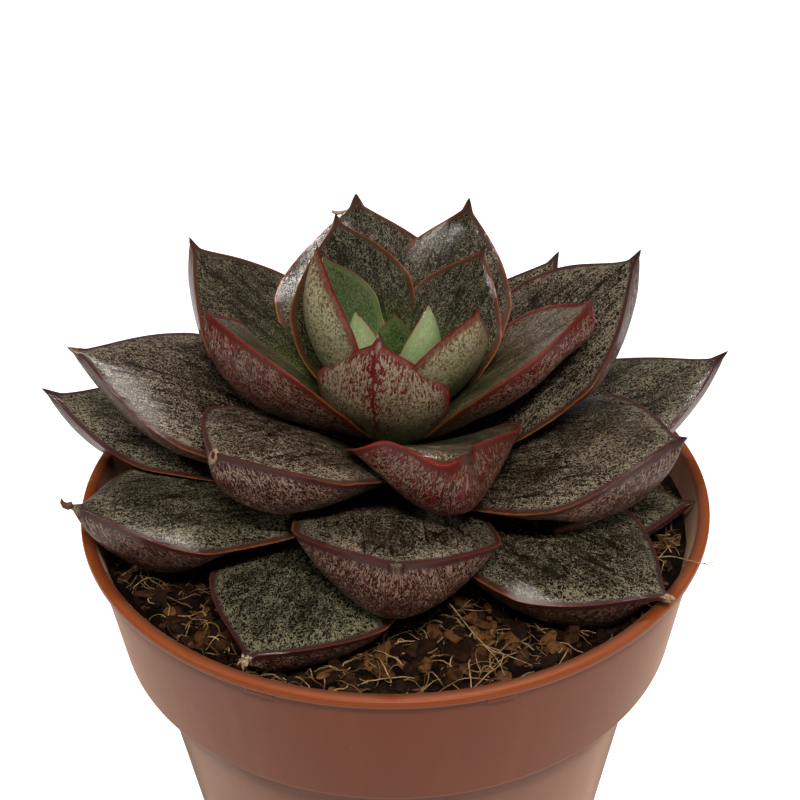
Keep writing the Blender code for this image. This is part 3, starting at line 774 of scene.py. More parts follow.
def dried_material():
    """Papery dead tissue: tan and cream with brown streaks."""
    made, g, shader = new_material("dried_tip", IOR=1.4)
    place = g.object_place()
    streaks = g.noise(place, 1400.0, 3.0, 0.6)
    colour = g.mix(g.attribute("tone"), srgb(84, 46, 22), srgb(190, 162, 124))
    colour = g.mix(g.step(streaks, 0.45, 0.65, top=0.6), colour, srgb(84, 48, 26))
    colour = g.mix(specks_over(g, place, 2200.0, 0.3, 0.2), colour, srgb(54, 30, 18))
    g.finish(shader, colour, g.step(streaks, 0.2, 0.8, bottom=0.55, top=0.85), streaks, 0.6, 0.0001)
    return made


def floor_material():
    """White board: pure white to the camera, and a softer white to the light that it throws back."""
    made, g, shader = new_material("white_board", Roughness=0.85, Emission_Color=(1.0, 1.0, 1.0, 1.0))
    grain = g.noise(g.object_place(), 6.0, 3.0)
    colour = g.mix(g.step(grain, 0.3, 0.7), (0.5, 0.5, 0.5), (0.54, 0.54, 0.54))
    g.feed(shader.inputs["Base Color"], colour)
    path = g.node("ShaderNodeLightPath").outputs
    glow = g.between(path["Is Glossy Ray"], FLOOR_GLOW, FLOOR_SHEEN)
    g.feed(shader.inputs["Emission Strength"], g.between(path["Is Camera Ray"], glow, 1.0))
    return made


# Leaves


def width_share(t, widest, blunt=False):
    """Half width along the leaf, with a thin drawn-out point, or with the frame's blunter one."""
    t = np.asarray(t, float)
    rise = NECK_WIDTH + (1 - NECK_WIDTH) * (1 - np.clip(1 - t / widest, 0, 1) ** FOOT_SWELL)
    s = np.clip((t - widest) / (TIP_FROM - widest), 0, 1)
    fall = (1 - s**FULLNESS) * (1 - TIP_DRAW * s**6)
    if blunt:
        point = 0.09 * np.clip((1 - t) / 0.04, 0, 1)
    else:
        point = 0.085 * np.clip((1 - t) / 0.06, 0, 1) ** 0.8
    return np.where(t <= widest, rise, np.maximum(fall, point))


def depth_share(t):
    """Thickness along the leaf: a thin neck, fullest past the middle, and a blunt end."""
    t = np.asarray(t, float)
    rise = NECK_DEPTH + (1 - NECK_DEPTH) * np.sin(np.pi / 2 * np.clip(t / THICKEST_AT, 0, 1)) ** 1.6
    s = np.clip((t - THICKEST_AT) / (0.985 - THICKEST_AT), 0, 1)
    fall = np.maximum((1 - s**2.2) ** 0.85, 0.07 * np.clip((1 - t) / 0.02, 0, 1))
    return np.where(t <= THICKEST_AT, rise, fall)


def keel_power(t):
    """How round the underside is across: lower towards the tip, where the keel is sharper."""
    return 2.5 - 0.66 * np.clip((np.asarray(t, float) - KEEL_FROM) / 0.4, 0, 1)


def azimuth_direction(azimuth):
    a = math.radians(azimuth)
    return np.array([math.cos(a), math.sin(a), 0.0])


def foot_on_frame(points, azimuth):
    """The upper middle point of a leaf's foot, read from the frame's own solid."""
    outward = azimuth_direction(azimuth)
    across = points @ np.array([-outward[1], outward[0], 0.0])
    middle = points[np.abs(across) < 0.02]
    nearest = middle[np.argsort(middle @ outward)[:2]]
    foot = nearest[np.argmax(nearest[:, 2])]
    return float(foot @ outward), float(foot[2] - LIP_EDGE)


class Blade:
    """The form of one leaf: sections along an arched midline, from its foot to its tip."""

    def __init__(self, azimuth, tip_radius, tip_height, width, depth, curl, roll, crown, foot):
        run, rise = tip_radius - foot[0], tip_height - foot[1]
        self.outward = azimuth_direction(azimuth)
        self.pitch = math.atan2(rise, run)
        self.curl = math.radians(curl)
        self.roll = math.radians(roll)
        self.width, self.depth, self.crown = width, depth, crown
        self.widest = 0.62 if depth >= 10 else 0.58
        bow = self.curl / 2
        self.arc = math.hypot(run, rise) * (bow / math.sin(bow) if bow else 1)
        self.foot = self.outward * foot[0] + np.array([0, 0, LIP_EDGE + foot[1]])

    def frames(self, t):
        """Midline points and their side and up directions, at shares t of the length."""
        t = np.atleast_1d(np.asarray(t, float))
        start = self.pitch - self.curl / 2
        here = self.pitch + self.curl * (t - 0.5)
        if self.curl:
            flat = self.arc * (np.sin(here) - math.sin(start)) / self.curl
            rise = self.arc * (math.cos(start) - np.cos(here)) / self.curl
        else:
            flat = self.arc * t * math.cos(start)
            rise = self.arc * t * math.sin(start)
        z = np.array([0.0, 0.0, 1.0])
        points = self.foot + np.outer(flat, self.outward) + np.outer(rise, z)
        forward = np.outer(np.cos(here), self.outward) + np.outer(np.sin(here), z)
        side = np.array([-self.outward[1], self.outward[0], 0.0])
        up = np.cross(forward, side)
        c, s = math.cos(self.roll), math.sin(self.roll)
        return points, c * side + s * up, c * up - s * side

    def half_width(self, t, blunt=False):
        return self.width / 2 * width_share(t, self.widest, blunt)

    def upper_height(self, t, q):
        """Height of the upper face over the midline, q of the way from the middle to a margin."""
        t, q = np.asarray(t, float), np.asarray(q, float)
        crown = max(self.crown, 0) * np.clip(np.sin(np.pi * np.clip(t / TIP_FROM, 0, 1)), 0, 1) ** 0.7
        return crown * (1 - np.abs(q) ** 2.6) + self.hollow(t) * q * q

    def hollow(self, t):
        """How far the margins of a hollow leaf stand above its middle."""
        return max(-self.crown, 0) * width_share(t, self.widest) * np.clip(np.asarray(t) / 0.3, 0, 1)

    def full_depth(self, t, q):
        """The leaf's depth under its upper face, before any of it is cut away."""
        return self.depth * depth_share(t) * (1 - np.abs(q) ** keel_power(t))

    def heights_at(self, points, section, t, q):
        """Heights over the midline of the corners that lie q of the way out on one section."""
        centre, side, up = section
        rel = points - (centre + side * (q * float(self.half_width(t, blunt=True))))
        height = rel @ up
        off = np.linalg.norm(rel - np.outer(height, up), axis=1)
        return height[(off < 0.04) & (height > -self.depth - 1) & (height < 7)]

    def measured(self, points):
        """How far the frame's leaf is lifted at each station, and how much of its depth is left.

        Both are read from the solid's own corners, which lie straight above and below the
        midline's section points. Corners hidden in a union are filled in from their neighbours.
        """
        lifts = np.full(len(STATIONS), np.nan)
        left = np.full((len(STATIONS), len(UNDERSIDE)), np.nan)
        for k, (t, *section) in enumerate(zip(STATIONS, *self.frames(STATIONS))):
            found = []
            for q in UPPER_FACE:
                above = self.heights_at(points, section, t, q)
                if len(above):
                    found.append(above.max() - float(self.upper_height(t, q)))
            found = [lift for lift in found if -0.1 < lift < 5]
            if not found:
                continue
            lifts[k] = np.median(found)
            for j, q in enumerate(UNDERSIDE):
                below = self.heights_at(points, section, t, q)
                full = float(self.full_depth(t, q))
                if len(below) and full > 0.05:
                    depth = lifts[k] + float(self.hollow(t)) * q * q - below.min()
                    left[k, j] = min(max(depth / full, 0.02), 1.0)
        lifts[0] = 0.0
        known = ~np.isnan(lifts)
        lifts = np.interp(STATIONS, np.array(STATIONS)[known], lifts[known])
        for j in range(len(UNDERSIDE)):
            known = ~np.isnan(left[:, j])
            if known.any():
                left[:, j] = np.interp(STATIONS, np.array(STATIONS)[known], left[known, j])
        return lifts, np.nan_to_num(left, nan=1.0)


def unit_blade():
    """A tube of rings along +Z, closed at its foot and drawn to a point, modelled once."""
    deselect()
    bpy.ops.mesh.primitive_circle_add(vertices=BLADE_SIDES, radius=1, fill_type="NGON")
    obj = bpy.context.active_object
    edit("FACE")
    for _ in range(BLADE_RINGS):
        bpy.ops.mesh.extrude_region_move(
            TRANSFORM_OT_translate={"value": (0, 0, 1.0 / BLADE_RINGS)}
        )
    bpy.ops.mesh.merge(type="CENTER")
    bpy.ops.mesh.select_all(action="SELECT")
    bpy.ops.mesh.normals_make_consistent(inside=False)
    leave_edit()
    obj.name = "unit_blade"
    return obj


def smoothed(grid, passes):
    """A grid averaged with its neighbours, round each ring and along the leaf."""
    for _ in range(passes):
        grid = (np.roll(grid, 1, 1) + 2 * grid + np.roll(grid, -1, 1)) / 4
        ends = np.vstack([grid[:1], grid, grid[-1:]])
        grid = (ends[:-2] + 2 * ends[1:-1] + ends[2:]) / 4
    return grid


def sway(a, b, seed):
    """Smooth noise between -1 and 1 over a grid."""
    flat = [noise.noise(Vector((x, y, seed))) for x, y in zip(a.ravel(), b.ravel())]
    return np.array(flat).reshape(a.shape)


def grow_leaf(unit, name, row, foot, solid_points, seed, waved=False):
    """One leaf on the frame's own place and form, with fine margins, point and unevenness."""
    *form, red, hook = row
    blade = Blade(*form, foot)
    leaf = unit.copy()
    leaf.data = unit.data.copy()
    leaf.name = leaf.data.name = name
    bpy.context.collection.objects.link(leaf)
    base = points_of(unit) * MM
    ring = np.rint(base[:, 2] * BLADE_RINGS).astype(int)
    turn = np.arctan2(base[:, 1], base[:, 0]) / (2 * np.pi)
    column = np.rint(turn * BLADE_SIDES).astype(int) % BLADE_SIDES
    at_tip = ring >= BLADE_RINGS
    last = np.minimum(ring, BLADE_RINGS)

    rings = np.arange(BLADE_RINGS + 1) / BLADE_RINGS
    t = (1 - (1 - rings) ** 1.25) * CUT_POINTS.get(name, 1.0)
    theta = 2 * np.pi * np.arange(BLADE_SIDES) / BLADE_SIDES
    q = np.cos(theta)
    upper = np.sin(theta) >= -1e-9
    tt, qq = np.meshgrid(t, q, indexing="ij")
    lifts, left = blade.measured(solid_points)
    lift = np.interp(t, STATIONS + (1.0,), np.append(lifts, lifts[-1]))[:, None] + 0 * qq
    nodes = np.array((-1.0,) + UNDERSIDE + (1.0,))
    rows = [np.interp(t, STATIONS, left[:, j]) for j in range(len(UNDERSIDE))]
    rows = np.array([rows[0]] + rows + [rows[-1]]).T
    depth_left = np.array([np.interp(q, nodes, r) for r in rows])
    depth_left = smoothed(depth_left, 6)
    lift = smoothed(lift, 10)
    lift -= lift[:1]

    half = blade.half_width(tt)
    across = qq * half
    top = blade.upper_height(tt, qq)
    bottom = blade.hollow(tt) * qq * qq - blade.full_depth(tt, qq) * depth_left
    height = np.where(upper[None, :], top, bottom) + lift
    body = np.clip(tt / 0.25, 0, 1) * np.clip((1 - tt) / 0.1, 0, 1)
    height += FACE_HUMPS * body * sway(tt * 3.2, qq * 1.3, seed)
    across *= 1 + WIDTH_WAVE * body * sway(tt * 5.0, np.sign(qq) * 3.0, seed + 7.5)
    rim = np.abs(qq) ** 6
    height += MARGIN_WAVE * rim * body * sway(tt * 7.0, np.sign(qq) * 2.0, seed + 3.5)
    end = np.clip((tt - 0.86) / 0.14, 0, 1)
    height += HOOK_RISE * hook * end**2
    if waved:
        height += wavy_wing(tt, qq) + ~upper[None, :] * deeper_prow(tt, qq)

    centres, sides, ups = blade.frames(t)
    grid = centres[:, None] + sides[:, None] * across[..., None]
    grid = grid + ups[:, None] * height[..., None]
    placed = grid[last, column]
    placed[at_tip] = grid[-1].mean(axis=0)
    place_points(leaf, placed)

    steps = np.linalg.norm(np.diff(np.concatenate([grid, grid[:, :1]], axis=1), axis=1), axis=2)
    run = np.concatenate([np.zeros((len(t), 1)), np.cumsum(steps, axis=1)], axis=1)
    quarter = BLADE_SIDES // 4
    edges = [run[:, 0], run[:, 2 * quarter], run[:, 4 * quarter]]
    here = run[:, :-1]
    edge = np.minimum.reduce([np.abs(here - e[:, None]) for e in edges])
    middles = np.where(upper[None, :], run[:, quarter][:, None], run[:, 3 * quarter][:, None])
    reach = here - middles
    sided = np.where(upper, 1.0, -1.0)
    sided[[0, 2 * quarter]] = 0.0
    blade_place = np.stack([
        blade.arc * tt[last, column],
        reach[last, column],
        np.full(len(last), 10.0 * seed) + 3.0 * (sided[column] < 0),
    ], axis=1)
    store(leaf, "blade", blade_place, "FLOAT_VECTOR")
    store(leaf, "edge", np.where(at_tip, 0, edge[last, column]))
    store(leaf, "share", tt[last, column])
    store(leaf, "side", sided[column])
    store(leaf, "red", np.full(len(last), red))
    store(leaf, "dry", np.full(len(last), DRIED_POINTS.get(name, 0.0)))
    return leaf


def wavy_wing(tt, qq):
    """How the leaf before the heart is bent: its left margin waves and its right wing stands up."""
    body = np.clip(tt / 0.4, 0, 1) * np.clip((1 - tt) / 0.06, 0, 1)
    right, left = np.clip(qq, 0, 1) ** 2, np.clip(-qq, 0, 1) ** 2
    crest = np.exp(-(((tt - WAVE_CREST) / 0.09) ** 2))
    trough = np.exp(-(((tt - WAVE_TROUGH) / 0.06) ** 2))
    return body * (left * (2.0 * crest - 1.6 * trough) + right * 1.0)


def deeper_prow(tt, qq):
    """The deep blunt keel under that leaf's point and the fullness on its left."""
    keel = 2.2 * (1 - np.abs(qq) ** 3) * np.exp(-(((tt - 0.84) / 0.14) ** 2))
    out = np.clip(-qq, 0, 1)
    left = 1.7 * out * (1 - out**4) * np.exp(-(((tt - 0.68) / 0.2) ** 2))
    return -keel - 1.6 * left


def make_leaves():
    """The rosette: a fine leaf for each outer solid, and eighteen inner ones for the heart."""
    finishes = {key: leaf_material(key + "_leaf_skin", look) for key, look in LOOKS.items()}
    unit = unit_blade()
    leaves = []
    for number, (name, row) in enumerate(OUTER_LEAVES.items()):
        solid = points_of(frame["nodes"][name])
        foot = foot_on_frame(solid, row[0])
        leaf = grow_leaf(unit, "fine_" + name, row, foot, solid, number + 1)
        leaves.append(finished(leaf, "leaf", finishes["outer"], name))
    heart = points_of(frame["nodes"]["heart"])
    for number, (name, row) in enumerate(INNER_LEAVES.items()):
        seed, waved = number + FIRST_INNER_SEED, name == "inner_leaf_01"
        leaf = grow_leaf(unit, name, row[:10], row[10:], heart, seed, waved)
        leaves.append(finished(leaf, "young_leaf", finishes[INNER_FINISH[number]], "heart"))
    bpy.data.objects.remove(unit)
    return leaves


# Pot


def turned(name, profile, segments):
    """A ring of the first point, extruded and resized from point to point, closed at the axis."""
    deselect()
    radius, height = profile[0]
    start = (0, 0, height * MM)
    bpy.ops.mesh.primitive_circle_add(vertices=segments, radius=radius * MM, location=start)
    obj = bpy.context.active_object
    obj.name = obj.data.name = name
    settled(obj)
    edit("EDGE")
    for next_radius, next_height in profile[1:]:
        bpy.ops.mesh.extrude_edges_move(
            TRANSFORM_OT_translate={"value": (0, 0, (next_height - height) * MM)}
        )
        share = next_radius / radius
        bpy.ops.transform.resize(value=(share, share, 1), center_override=(0, 0, next_height * MM))
        radius, height = next_radius, next_height
    bpy.ops.mesh.select_all(action="SELECT")
    bpy.ops.mesh.remove_doubles(threshold=0.01 * MM)
    bpy.ops.mesh.normals_make_consistent(inside=False)
    leave_edit()
    return obj


def body_radius(depth):
    """The outer radius of the tapered body, at a depth under the lip's lower edge."""
    return BODY_TOP_RADIUS - BODY_TAPER * (depth - COLLAR_HEIGHT)


def rounded(points, corner, radius, steps=4):
    """Replaces one corner of a profile by a small arc."""
    before, at, after = (np.array(points[corner + k], float) for k in (-1, 0, 1))
    start = at + (before - at) / np.linalg.norm(before - at) * radius
    end = at + (after - at) / np.linalg.norm(after - at) * radius
    curve = []
    for k in range(steps + 1):
        s = k / steps
        curve.append(tuple((1 - s) ** 2 * start + 2 * s * (1 - s) * at + s * s * end))
    return points[:corner] + curve + points[corner + 1:]


def on_circle(radius, angle, height):
    """A place in metres, at a radius and angle round the pot."""
    return radius * math.cos(angle) * MM, radius * math.sin(angle) * MM, height * MM


def make_pot(finish):
    """The pot turned from one rounded profile, with drilled drain holes and its moulding tabs."""
    foot = body_radius(LIP_EDGE)
    floor = FOOT_RECESS + WALL
    step = LIP_EDGE - COLLAR_HEIGHT
    inner_foot = body_radius(LIP_EDGE - floor) - WALL
    profile = [
        (AXIS_RADIUS, 0.0),
        (FOOT_DISC_RADIUS, 0.0),
        (FOOT_DISC_RADIUS + 0.5, FOOT_RECESS),
        (foot - FOOT_RING_WIDTH - 0.5, FOOT_RECESS),
        (foot - FOOT_RING_WIDTH, 0.0),
        (foot - 0.3, 0.0),
        (foot + 0.1, 0.8),
        (BODY_TOP_RADIUS - 0.1, step - 0.6),
        (BODY_TOP_RADIUS + 0.3, step),
        (COLLAR_FOOT_RADIUS - 0.1, step),
        (COLLAR_TOP_RADIUS, LIP_EDGE),
        (LIP_RADIUS - 0.05, LIP_EDGE),
        (LIP_RADIUS, LIP_EDGE + 0.5),
        (LIP_RADIUS - 0.05, POT_HEIGHT),
        (LIP_RADIUS - LIP_LEDGE, POT_HEIGHT - 0.05),
        (COLLAR_TOP_RADIUS - WALL, LIP_EDGE - 0.4),
        (COLLAR_FOOT_RADIUS - WALL, step + WALL),
        (BODY_TOP_RADIUS - WALL, step + WALL - 0.4),
        (BODY_TOP_RADIUS - WALL, step - WALL),
        (inner_foot, floor + 1.0),
        (inner_foot - 1.2, floor),
        (AXIS_RADIUS, floor),
    ]
    for corner, radius in POT_ROUNDINGS:
        profile = rounded(profile, corner, radius)
    pot = turned("pot_shell", profile, POT_SEGMENTS)
    make_active(pot)
    edit("EDGE", "DESELECT")
    bpy.ops.mesh.select_non_manifold()
    bpy.ops.mesh.edge_face_add()
    leave_edit()
    tidy_normals(pot)
    for k in range(DRAIN_HOLES):
        angle = 2 * math.pi * (k + 0.5) / DRAIN_HOLES
        deselect()
        bpy.ops.mesh.primitive_cylinder_add(
            vertices=32, radius=DRAIN_RADIUS * MM, depth=6 * MM,
            location=on_circle(DRAIN_CIRCLE, angle, FOOT_RECESS),
        )
        drill = bpy.context.active_object
        apply(pot, "BOOLEAN", operation="DIFFERENCE", object=drill)
        bpy.data.objects.remove(drill)
    tabs = [make_tab(azimuth) for azimuth in TAB_AZIMUTHS]
    pot = join([pot] + tabs, "pot_shell")
    points = points_of(pot)
    radius = np.hypot(points[:, 0], points[:, 1])
    heights = [0, step, LIP_EDGE, POT_HEIGHT]
    outer = np.interp(points[:, 2], heights, [foot, BODY_TOP_RADIUS, COLLAR_TOP_RADIUS, LIP_RADIUS])
    # Marks the inner wall, which the pot's finish darkens as painted shade and stains with soil.
    store(pot, "inner", (radius < outer - INNER_WALL_FROM).astype(float))
    finished(pot, "pot_plastic", finish, "pot")
    smooth_by_angle(pot, 35)
    return pot


def make_tab(azimuth):
    """A small moulding tab under the lip, with softened edges."""
    deselect()
    radius = COLLAR_TOP_RADIUS + TAB_STANDS_OUT / 2 - 0.2
    a = math.radians(azimuth)
    bpy.ops.mesh.primitive_cube_add(
        size=1, location=on_circle(radius, a, LIP_EDGE - TAB_HEIGHT / 2 + 0.1), rotation=(0, 0, a),
        scale=((TAB_STANDS_OUT + 0.4) * MM, TAB_LENGTH * MM, (TAB_HEIGHT + 0.2) * MM),
    )
    tab = bpy.context.active_object
    settled(tab)
    apply(tab, "BEVEL", width=0.22 * MM, segments=3)
    return tab


# Stem and soil


def make_stem(finish):
    """The frame's stem made finer, with low rings where old leaves have dropped."""
    stem = merged_copy("stem", "stem_wood")
    make_active(stem)
    edit()
    bpy.ops.mesh.subdivide(number_cuts=3)
    leave_edit()
    points = points_of(stem)
    radius = np.hypot(points[:, 0], points[:, 1])
    for k, (x, y, z) in enumerate(points):
        if radius[k] > 2 and z < LIP_EDGE + STEM_TOP - 0.2:
            ring = 0.5 + 0.5 * math.sin(z * 2.6 + noise.noise(Vector((x, y, z)) * 0.3) * 3)
            points[k, :2] *= 1 - 0.025 * ring
    place_points(stem, points)
    return finished(stem, "stem_bark", finish, "stem")


def merged_copy(node, name):
    """A copy of a frame solid with its loose triangles merged."""
    source = frame["nodes"][node]
    made = source.copy()
    made.data = source.data.copy()
    made.name = made.data.name = name
    made.parent = None
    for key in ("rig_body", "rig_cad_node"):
        if key in made:
            del made[key]
    bpy.context.collection.objects.link(made)
    make_active(made)
    edit()
    bpy.ops.mesh.remove_doubles(threshold=0.002 * MM)
    leave_edit()
    return made


def mesh_lists(obj):
    """The points and the faces of a mesh, as lists."""
    mesh = obj.data
    return [v.co.copy() for v in mesh.vertices], [tuple(face.vertices) for face in mesh.polygons]


def add_shape(points, faces, more_points, more_faces):
    """Adds one shape to lists that may hold others already."""
    shift = len(points)
    points.extend(more_points)
    faces.extend(tuple(i + shift for i in face) for face in more_faces)


def tree_of_nodes(names):
    """The frame's solids in one tree for casting rays."""
    points, faces = [], []
    for name in names:
        add_shape(points, faces, *mesh_lists(frame["nodes"][name]))
    return BVHTree.FromPolygons(points, faces)


def crumbly(place):
    """Uneven peat, in millimetres: broad humps, crumbs and grit."""
    broad = noise.noise(place * 0.16)
    crumbs = noise.noise(place * 0.55)
    grit = noise.noise(place * 1.6)
    return 0.7 * broad + 0.75 * crumbs + 0.35 * grit - 0.5


def make_soil(finish):
    """The frame's soil with its open top made finer and crumbly, between the stem and the wall."""
    soil = merged_copy("soil", "peat_surface")
    make_active(soil)
    edit("FACE", "DESELECT")
    leave_edit()
    lowest, nearest = (LIP_EDGE - SOIL_DEPTH - 2) * MM, (STEM_HOLE - 0.6) * MM
    for face in soil.data.polygons:
        open_top = face.normal.z > 0.25 and face.center.z > lowest
        face.select = open_top and face.center.xy.length > nearest
    edit("FACE", None)
    bpy.ops.mesh.subdivide(number_cuts=4)
    leave_edit()
    points = points_of(soil)
    radius = np.hypot(points[:, 0], points[:, 1])
    for k, (x, y, z) in enumerate(points):
        if z > LIP_EDGE - SOIL_DEPTH and STEM_HOLE < radius[k] < SOIL_RADIUS:
            fade = min((radius[k] - STEM_HOLE) / 3, 1)
            points[k, 2] += fade * crumbly(Vector((x, y, z)))
    place_points(soil, points)
    return finished(soil, "potting_soil", finish, "soil")


def covered(leaves, place, clearance):
    """Whether a leaf hangs over a place on the soil by less than a clearance."""
    return leaves.ray_cast(place + 0.0002 * UP, UP, clearance * MM)[0] is not None


def soil_spot(draw, surface, leaves, clearance):
    """A random place on the open soil with its height, or None where a leaf is too near."""
    r = math.sqrt(draw.uniform((LITTER_FROM / SOIL_RADIUS) ** 2, LITTER_SHARE)) * SOIL_RADIUS
    a = draw.uniform(0, 2 * math.pi)
    start = Vector((r * math.cos(a), r * math.sin(a), 0)) * MM
    start.z = RAY_START * MM
    place = surface.ray_cast(start, DOWN)[0]
    too_low = (LIP_EDGE - SOIL_DEPTH - 4) * MM
    if place is None or place.z < too_low or covered(leaves, place, clearance):
        return None
    return place / MM


def chip_shapes(draw):
    """A few broken chips: low-sided balls cut by planes and roughened."""
    shapes = []
    for _ in range(CHIP_KINDS):
        deselect()
        bpy.ops.mesh.primitive_ico_sphere_add(subdivisions=2, radius=1)
        chip = bpy.context.active_object
        edit()
        for _ in range(3):
            normal = Vector((draw.gauss(0, 1), draw.gauss(0, 1), draw.gauss(0, 1))).normalized()
            cut = normal * draw.uniform(0.35, 0.7)
            bpy.ops.mesh.select_all(action="SELECT")
            bpy.ops.mesh.bisect(plane_co=cut, plane_no=normal, use_fill=True, clear_outer=True)
        leave_edit()
        for vertex in chip.data.vertices:
            vertex.co *= 1 + 0.25 * noise.noise(vertex.co * 2.2 + Vector((len(shapes), 0, 0)))
        tidy_normals(chip)
        shapes.append(chip)
    return shapes


def toned_object(name, points, faces, tones):
    """A new piece in place, with a tone for each of its points."""
    mesh = bpy.data.meshes.new(name)
    mesh.from_pydata(points, [], faces)
    made = bpy.data.objects.new(name, mesh)
    bpy.context.collection.objects.link(made)
    store(made, "tone", tones)
    return made


def scatter_chips(finish, soil, leaves):
    """Bark litter on the open soil, its crumbs and its larger chips in one piece each."""
    draw = random.Random(CHIP_SEED)
    shapes = chip_shapes(draw)
    surface = BVHTree.FromPolygons(*mesh_lists(soil))
    meshes = [mesh_lists(shape) for shape in shapes]
    litter = {"bark_crumbs": ([], [], []), "bark_chips": ([], [], [])}
    for _ in range(CHIP_TRIES):
        size = min(0.3 + draw.expovariate(2.2), LARGEST_CHIP)
        spot = soil_spot(draw, surface, leaves, 1.6 * size + 0.4)
        if spot is None or spot.xy.length > SOIL_RADIUS - 0.5 - 1.3 * size:
            continue
        flat = draw.uniform(0.3, 0.7)
        stretch = draw.uniform(0.9, 2.2)
        tilt = (draw.uniform(-0.5, 0.5), draw.uniform(-0.5, 0.5), draw.uniform(0, 6.28))
        turn = Euler(tilt).to_matrix()
        shape, polygons = draw.choice(meshes)
        points, faces, tones = litter["bark_crumbs" if size < CRUMB_SIZE else "bark_chips"]
        placed = []
        for p in shape:
            q = turn @ Vector((p.x * stretch, p.y, p.z * flat)) * size
            placed.append((q + spot + Vector((0, 0, 0.15 * size))) * MM)
        add_shape(points, faces, placed, polygons)
        tones.extend([draw.random() ** 4] * len(shape))
    for shape in shapes:
        bpy.data.objects.remove(shape)
    for name, lists in litter.items():
        chips = finished(toned_object(name, *lists), "potting_soil", finish)
        smooth_by_angle(chips, 30)
    return surface


def strand(path, radii, sides=5):
    """Points and faces of a thin tube along a path, closed at both ends."""
    path = [Vector(p) for p in path]
    points, faces = [], []
    side = Vector((0.3, 0.5, 0.8))
    for k, here in enumerate(path):
        ahead = path[min(k + 1, len(path) - 1)] - path[max(k - 1, 0)]
        ahead.normalize()
        first = ahead.cross(side).normalized()
        second = ahead.cross(first)
        for j in range(sides):
            a = 2 * math.pi * j / sides
            points.append(here + (first * math.cos(a) + second * math.sin(a)) * radii[k])
    for k in range(len(path) - 1):
        for j in range(sides):
            a, b = k * sides + j, k * sides + (j + 1) % sides
            faces.append((a, b, b + sides, a + sides))
    faces.append(tuple(reversed(range(sides))))
    faces.append(tuple(range((len(path) - 1) * sides, len(path) * sides)))
    return points, faces


def thinning(path, thick, loss):
    """Radii along a path that lose a share of their thickness by its end."""
    return [thick * (1 - loss * k / len(path)) for k in range(len(path))]


def tube_object(name, tubes, finish, slot_name, tones):
    """One piece of many thin tubes, each with its own tone."""
    points, faces, shades = [], [], []
    for (tube_points, tube_faces), tone in zip(tubes, tones):
        add_shape(points, faces, [p * MM for p in tube_points], tube_faces)
        shades.extend([tone] * len(tube_points))
    obj = toned_object(name, points, faces, shades)
    tidy_normals(obj)
    return finished(obj, slot_name, finish)


def scatter_fibres(finish, surface, leaves):
    """Coir fibres that lie curled on the peat."""
    draw = random.Random(FIBRE_SEED)
    tubes, tones = [], []
    for _ in range(FIBRE_TRIES):
        spot = soil_spot(draw, surface, leaves, 1.4)
        if spot is None:
            continue
        length = draw.uniform(3, 11)
        heading = draw.uniform(0, 2 * math.pi)
        bend = draw.uniform(-0.35, 0.35)
        arch = draw.uniform(0.2, 1.6)
        path = []
        here = Vector(spot)
        for k in range(FIBRE_STEPS):
            heading += bend + draw.uniform(-0.15, 0.15)
            ahead = Vector((math.cos(heading), math.sin(heading), 0))
            here = here + ahead * length / FIBRE_STEPS
            if here.xy.length > SOIL_RADIUS - 0.5:
                break
            down = surface.ray_cast(Vector((here.x, here.y, RAY_START)) * MM, DOWN)[0]
            if down is None or covered(leaves, down, arch + 0.9):
                break
            z = down.z / MM + 0.15 + arch * math.sin(math.pi * k / (FIBRE_STEPS - 1))
            path.append(Vector((here.x, here.y, z)))
        if len(path) < 5:
            continue
        tubes.append(strand(path, thinning(path, draw.uniform(0.05, 0.16), 0.5)))
        tones.append(draw.random())
    return tube_object("coir_fibres", tubes, finish, "potting_soil", tones)


# Dried bits and hairs


def end_of(leaf):
    """The point of a finished leaf, and the direction in which it points."""
    points = points_of(leaf)
    share = np.empty(len(points), np.float32)
    leaf.data.attributes["share"].data.foreach_get("value", share)
    tip = points[np.argmax(share)]
    ring = points[(share < share.max() - 0.03) & (share > share.max() - 0.07)]
    ahead = tip - ring.mean(axis=0)
    return Vector(tip), Vector(ahead).normalized()


def make_scar(leaf, finish):
    """The round tan scar of a point that has broken off: a ball flattened, dented and roughened."""
    tip, ahead = end_of(leaf)
    deselect()
    bpy.ops.mesh.primitive_uv_sphere_add(segments=32, ring_count=24, radius=MM)
    scar = bpy.context.active_object
    scar.name = scar.data.name = "broken_point_scar"
    local = points_of(scar)
    reach = np.hypot(local[:, 0], local[:, 1])
    dent = 0.45 * np.clip(1 - (reach / 0.62) ** 2, 0, 1) * (local[:, 2] > 0)
    rough = np.array([noise.noise(Vector(p) * 3.0) for p in local])
    tones = np.clip(0.1 + 0.45 * np.clip((reach - 0.35) / 0.4, 0, 1) + 0.3 * rough, 0, 1)
    local[:, 2] = 0.45 * local[:, 2] - dent + 0.1 * rough
    local[:, :2] *= (0.85, 1.15)
    side = ahead.cross(Vector((0, 0, 1))).normalized()
    turn = np.array([side, side.cross(ahead), ahead])
    place_points(scar, local @ turn + np.array(tip - 0.25 * ahead))
    store(scar, "tone", tones)
    return finished(scar, "leaf", finish)


def dried_flakes(leaf, draw, count, length):
    """Papery slivers round a dried point, as tubes and tones."""
    tip, ahead = end_of(leaf)
    tubes, tones = [], []
    for _ in range(count):
        heading = ahead + 0.75 * Vector([draw.gauss(0, 0.6) for _ in range(3)])
        heading.normalize()
        start = tip - 0.9 * ahead + Vector([draw.uniform(-0.35, 0.35) for _ in range(3)])
        curl = Vector([draw.gauss(0, 0.2) for _ in range(3)])
        reach = length * draw.uniform(0.6, 1.2)
        path = [start + heading * reach * k / 5 + curl * (k / 5) ** 2 for k in range(6)]
        tubes.append(strand(path, [0.3, 0.34, 0.3, 0.22, 0.14, 0.04], 6))
        tones.append(draw.uniform(0.45, 1.0))
    return tubes, tones


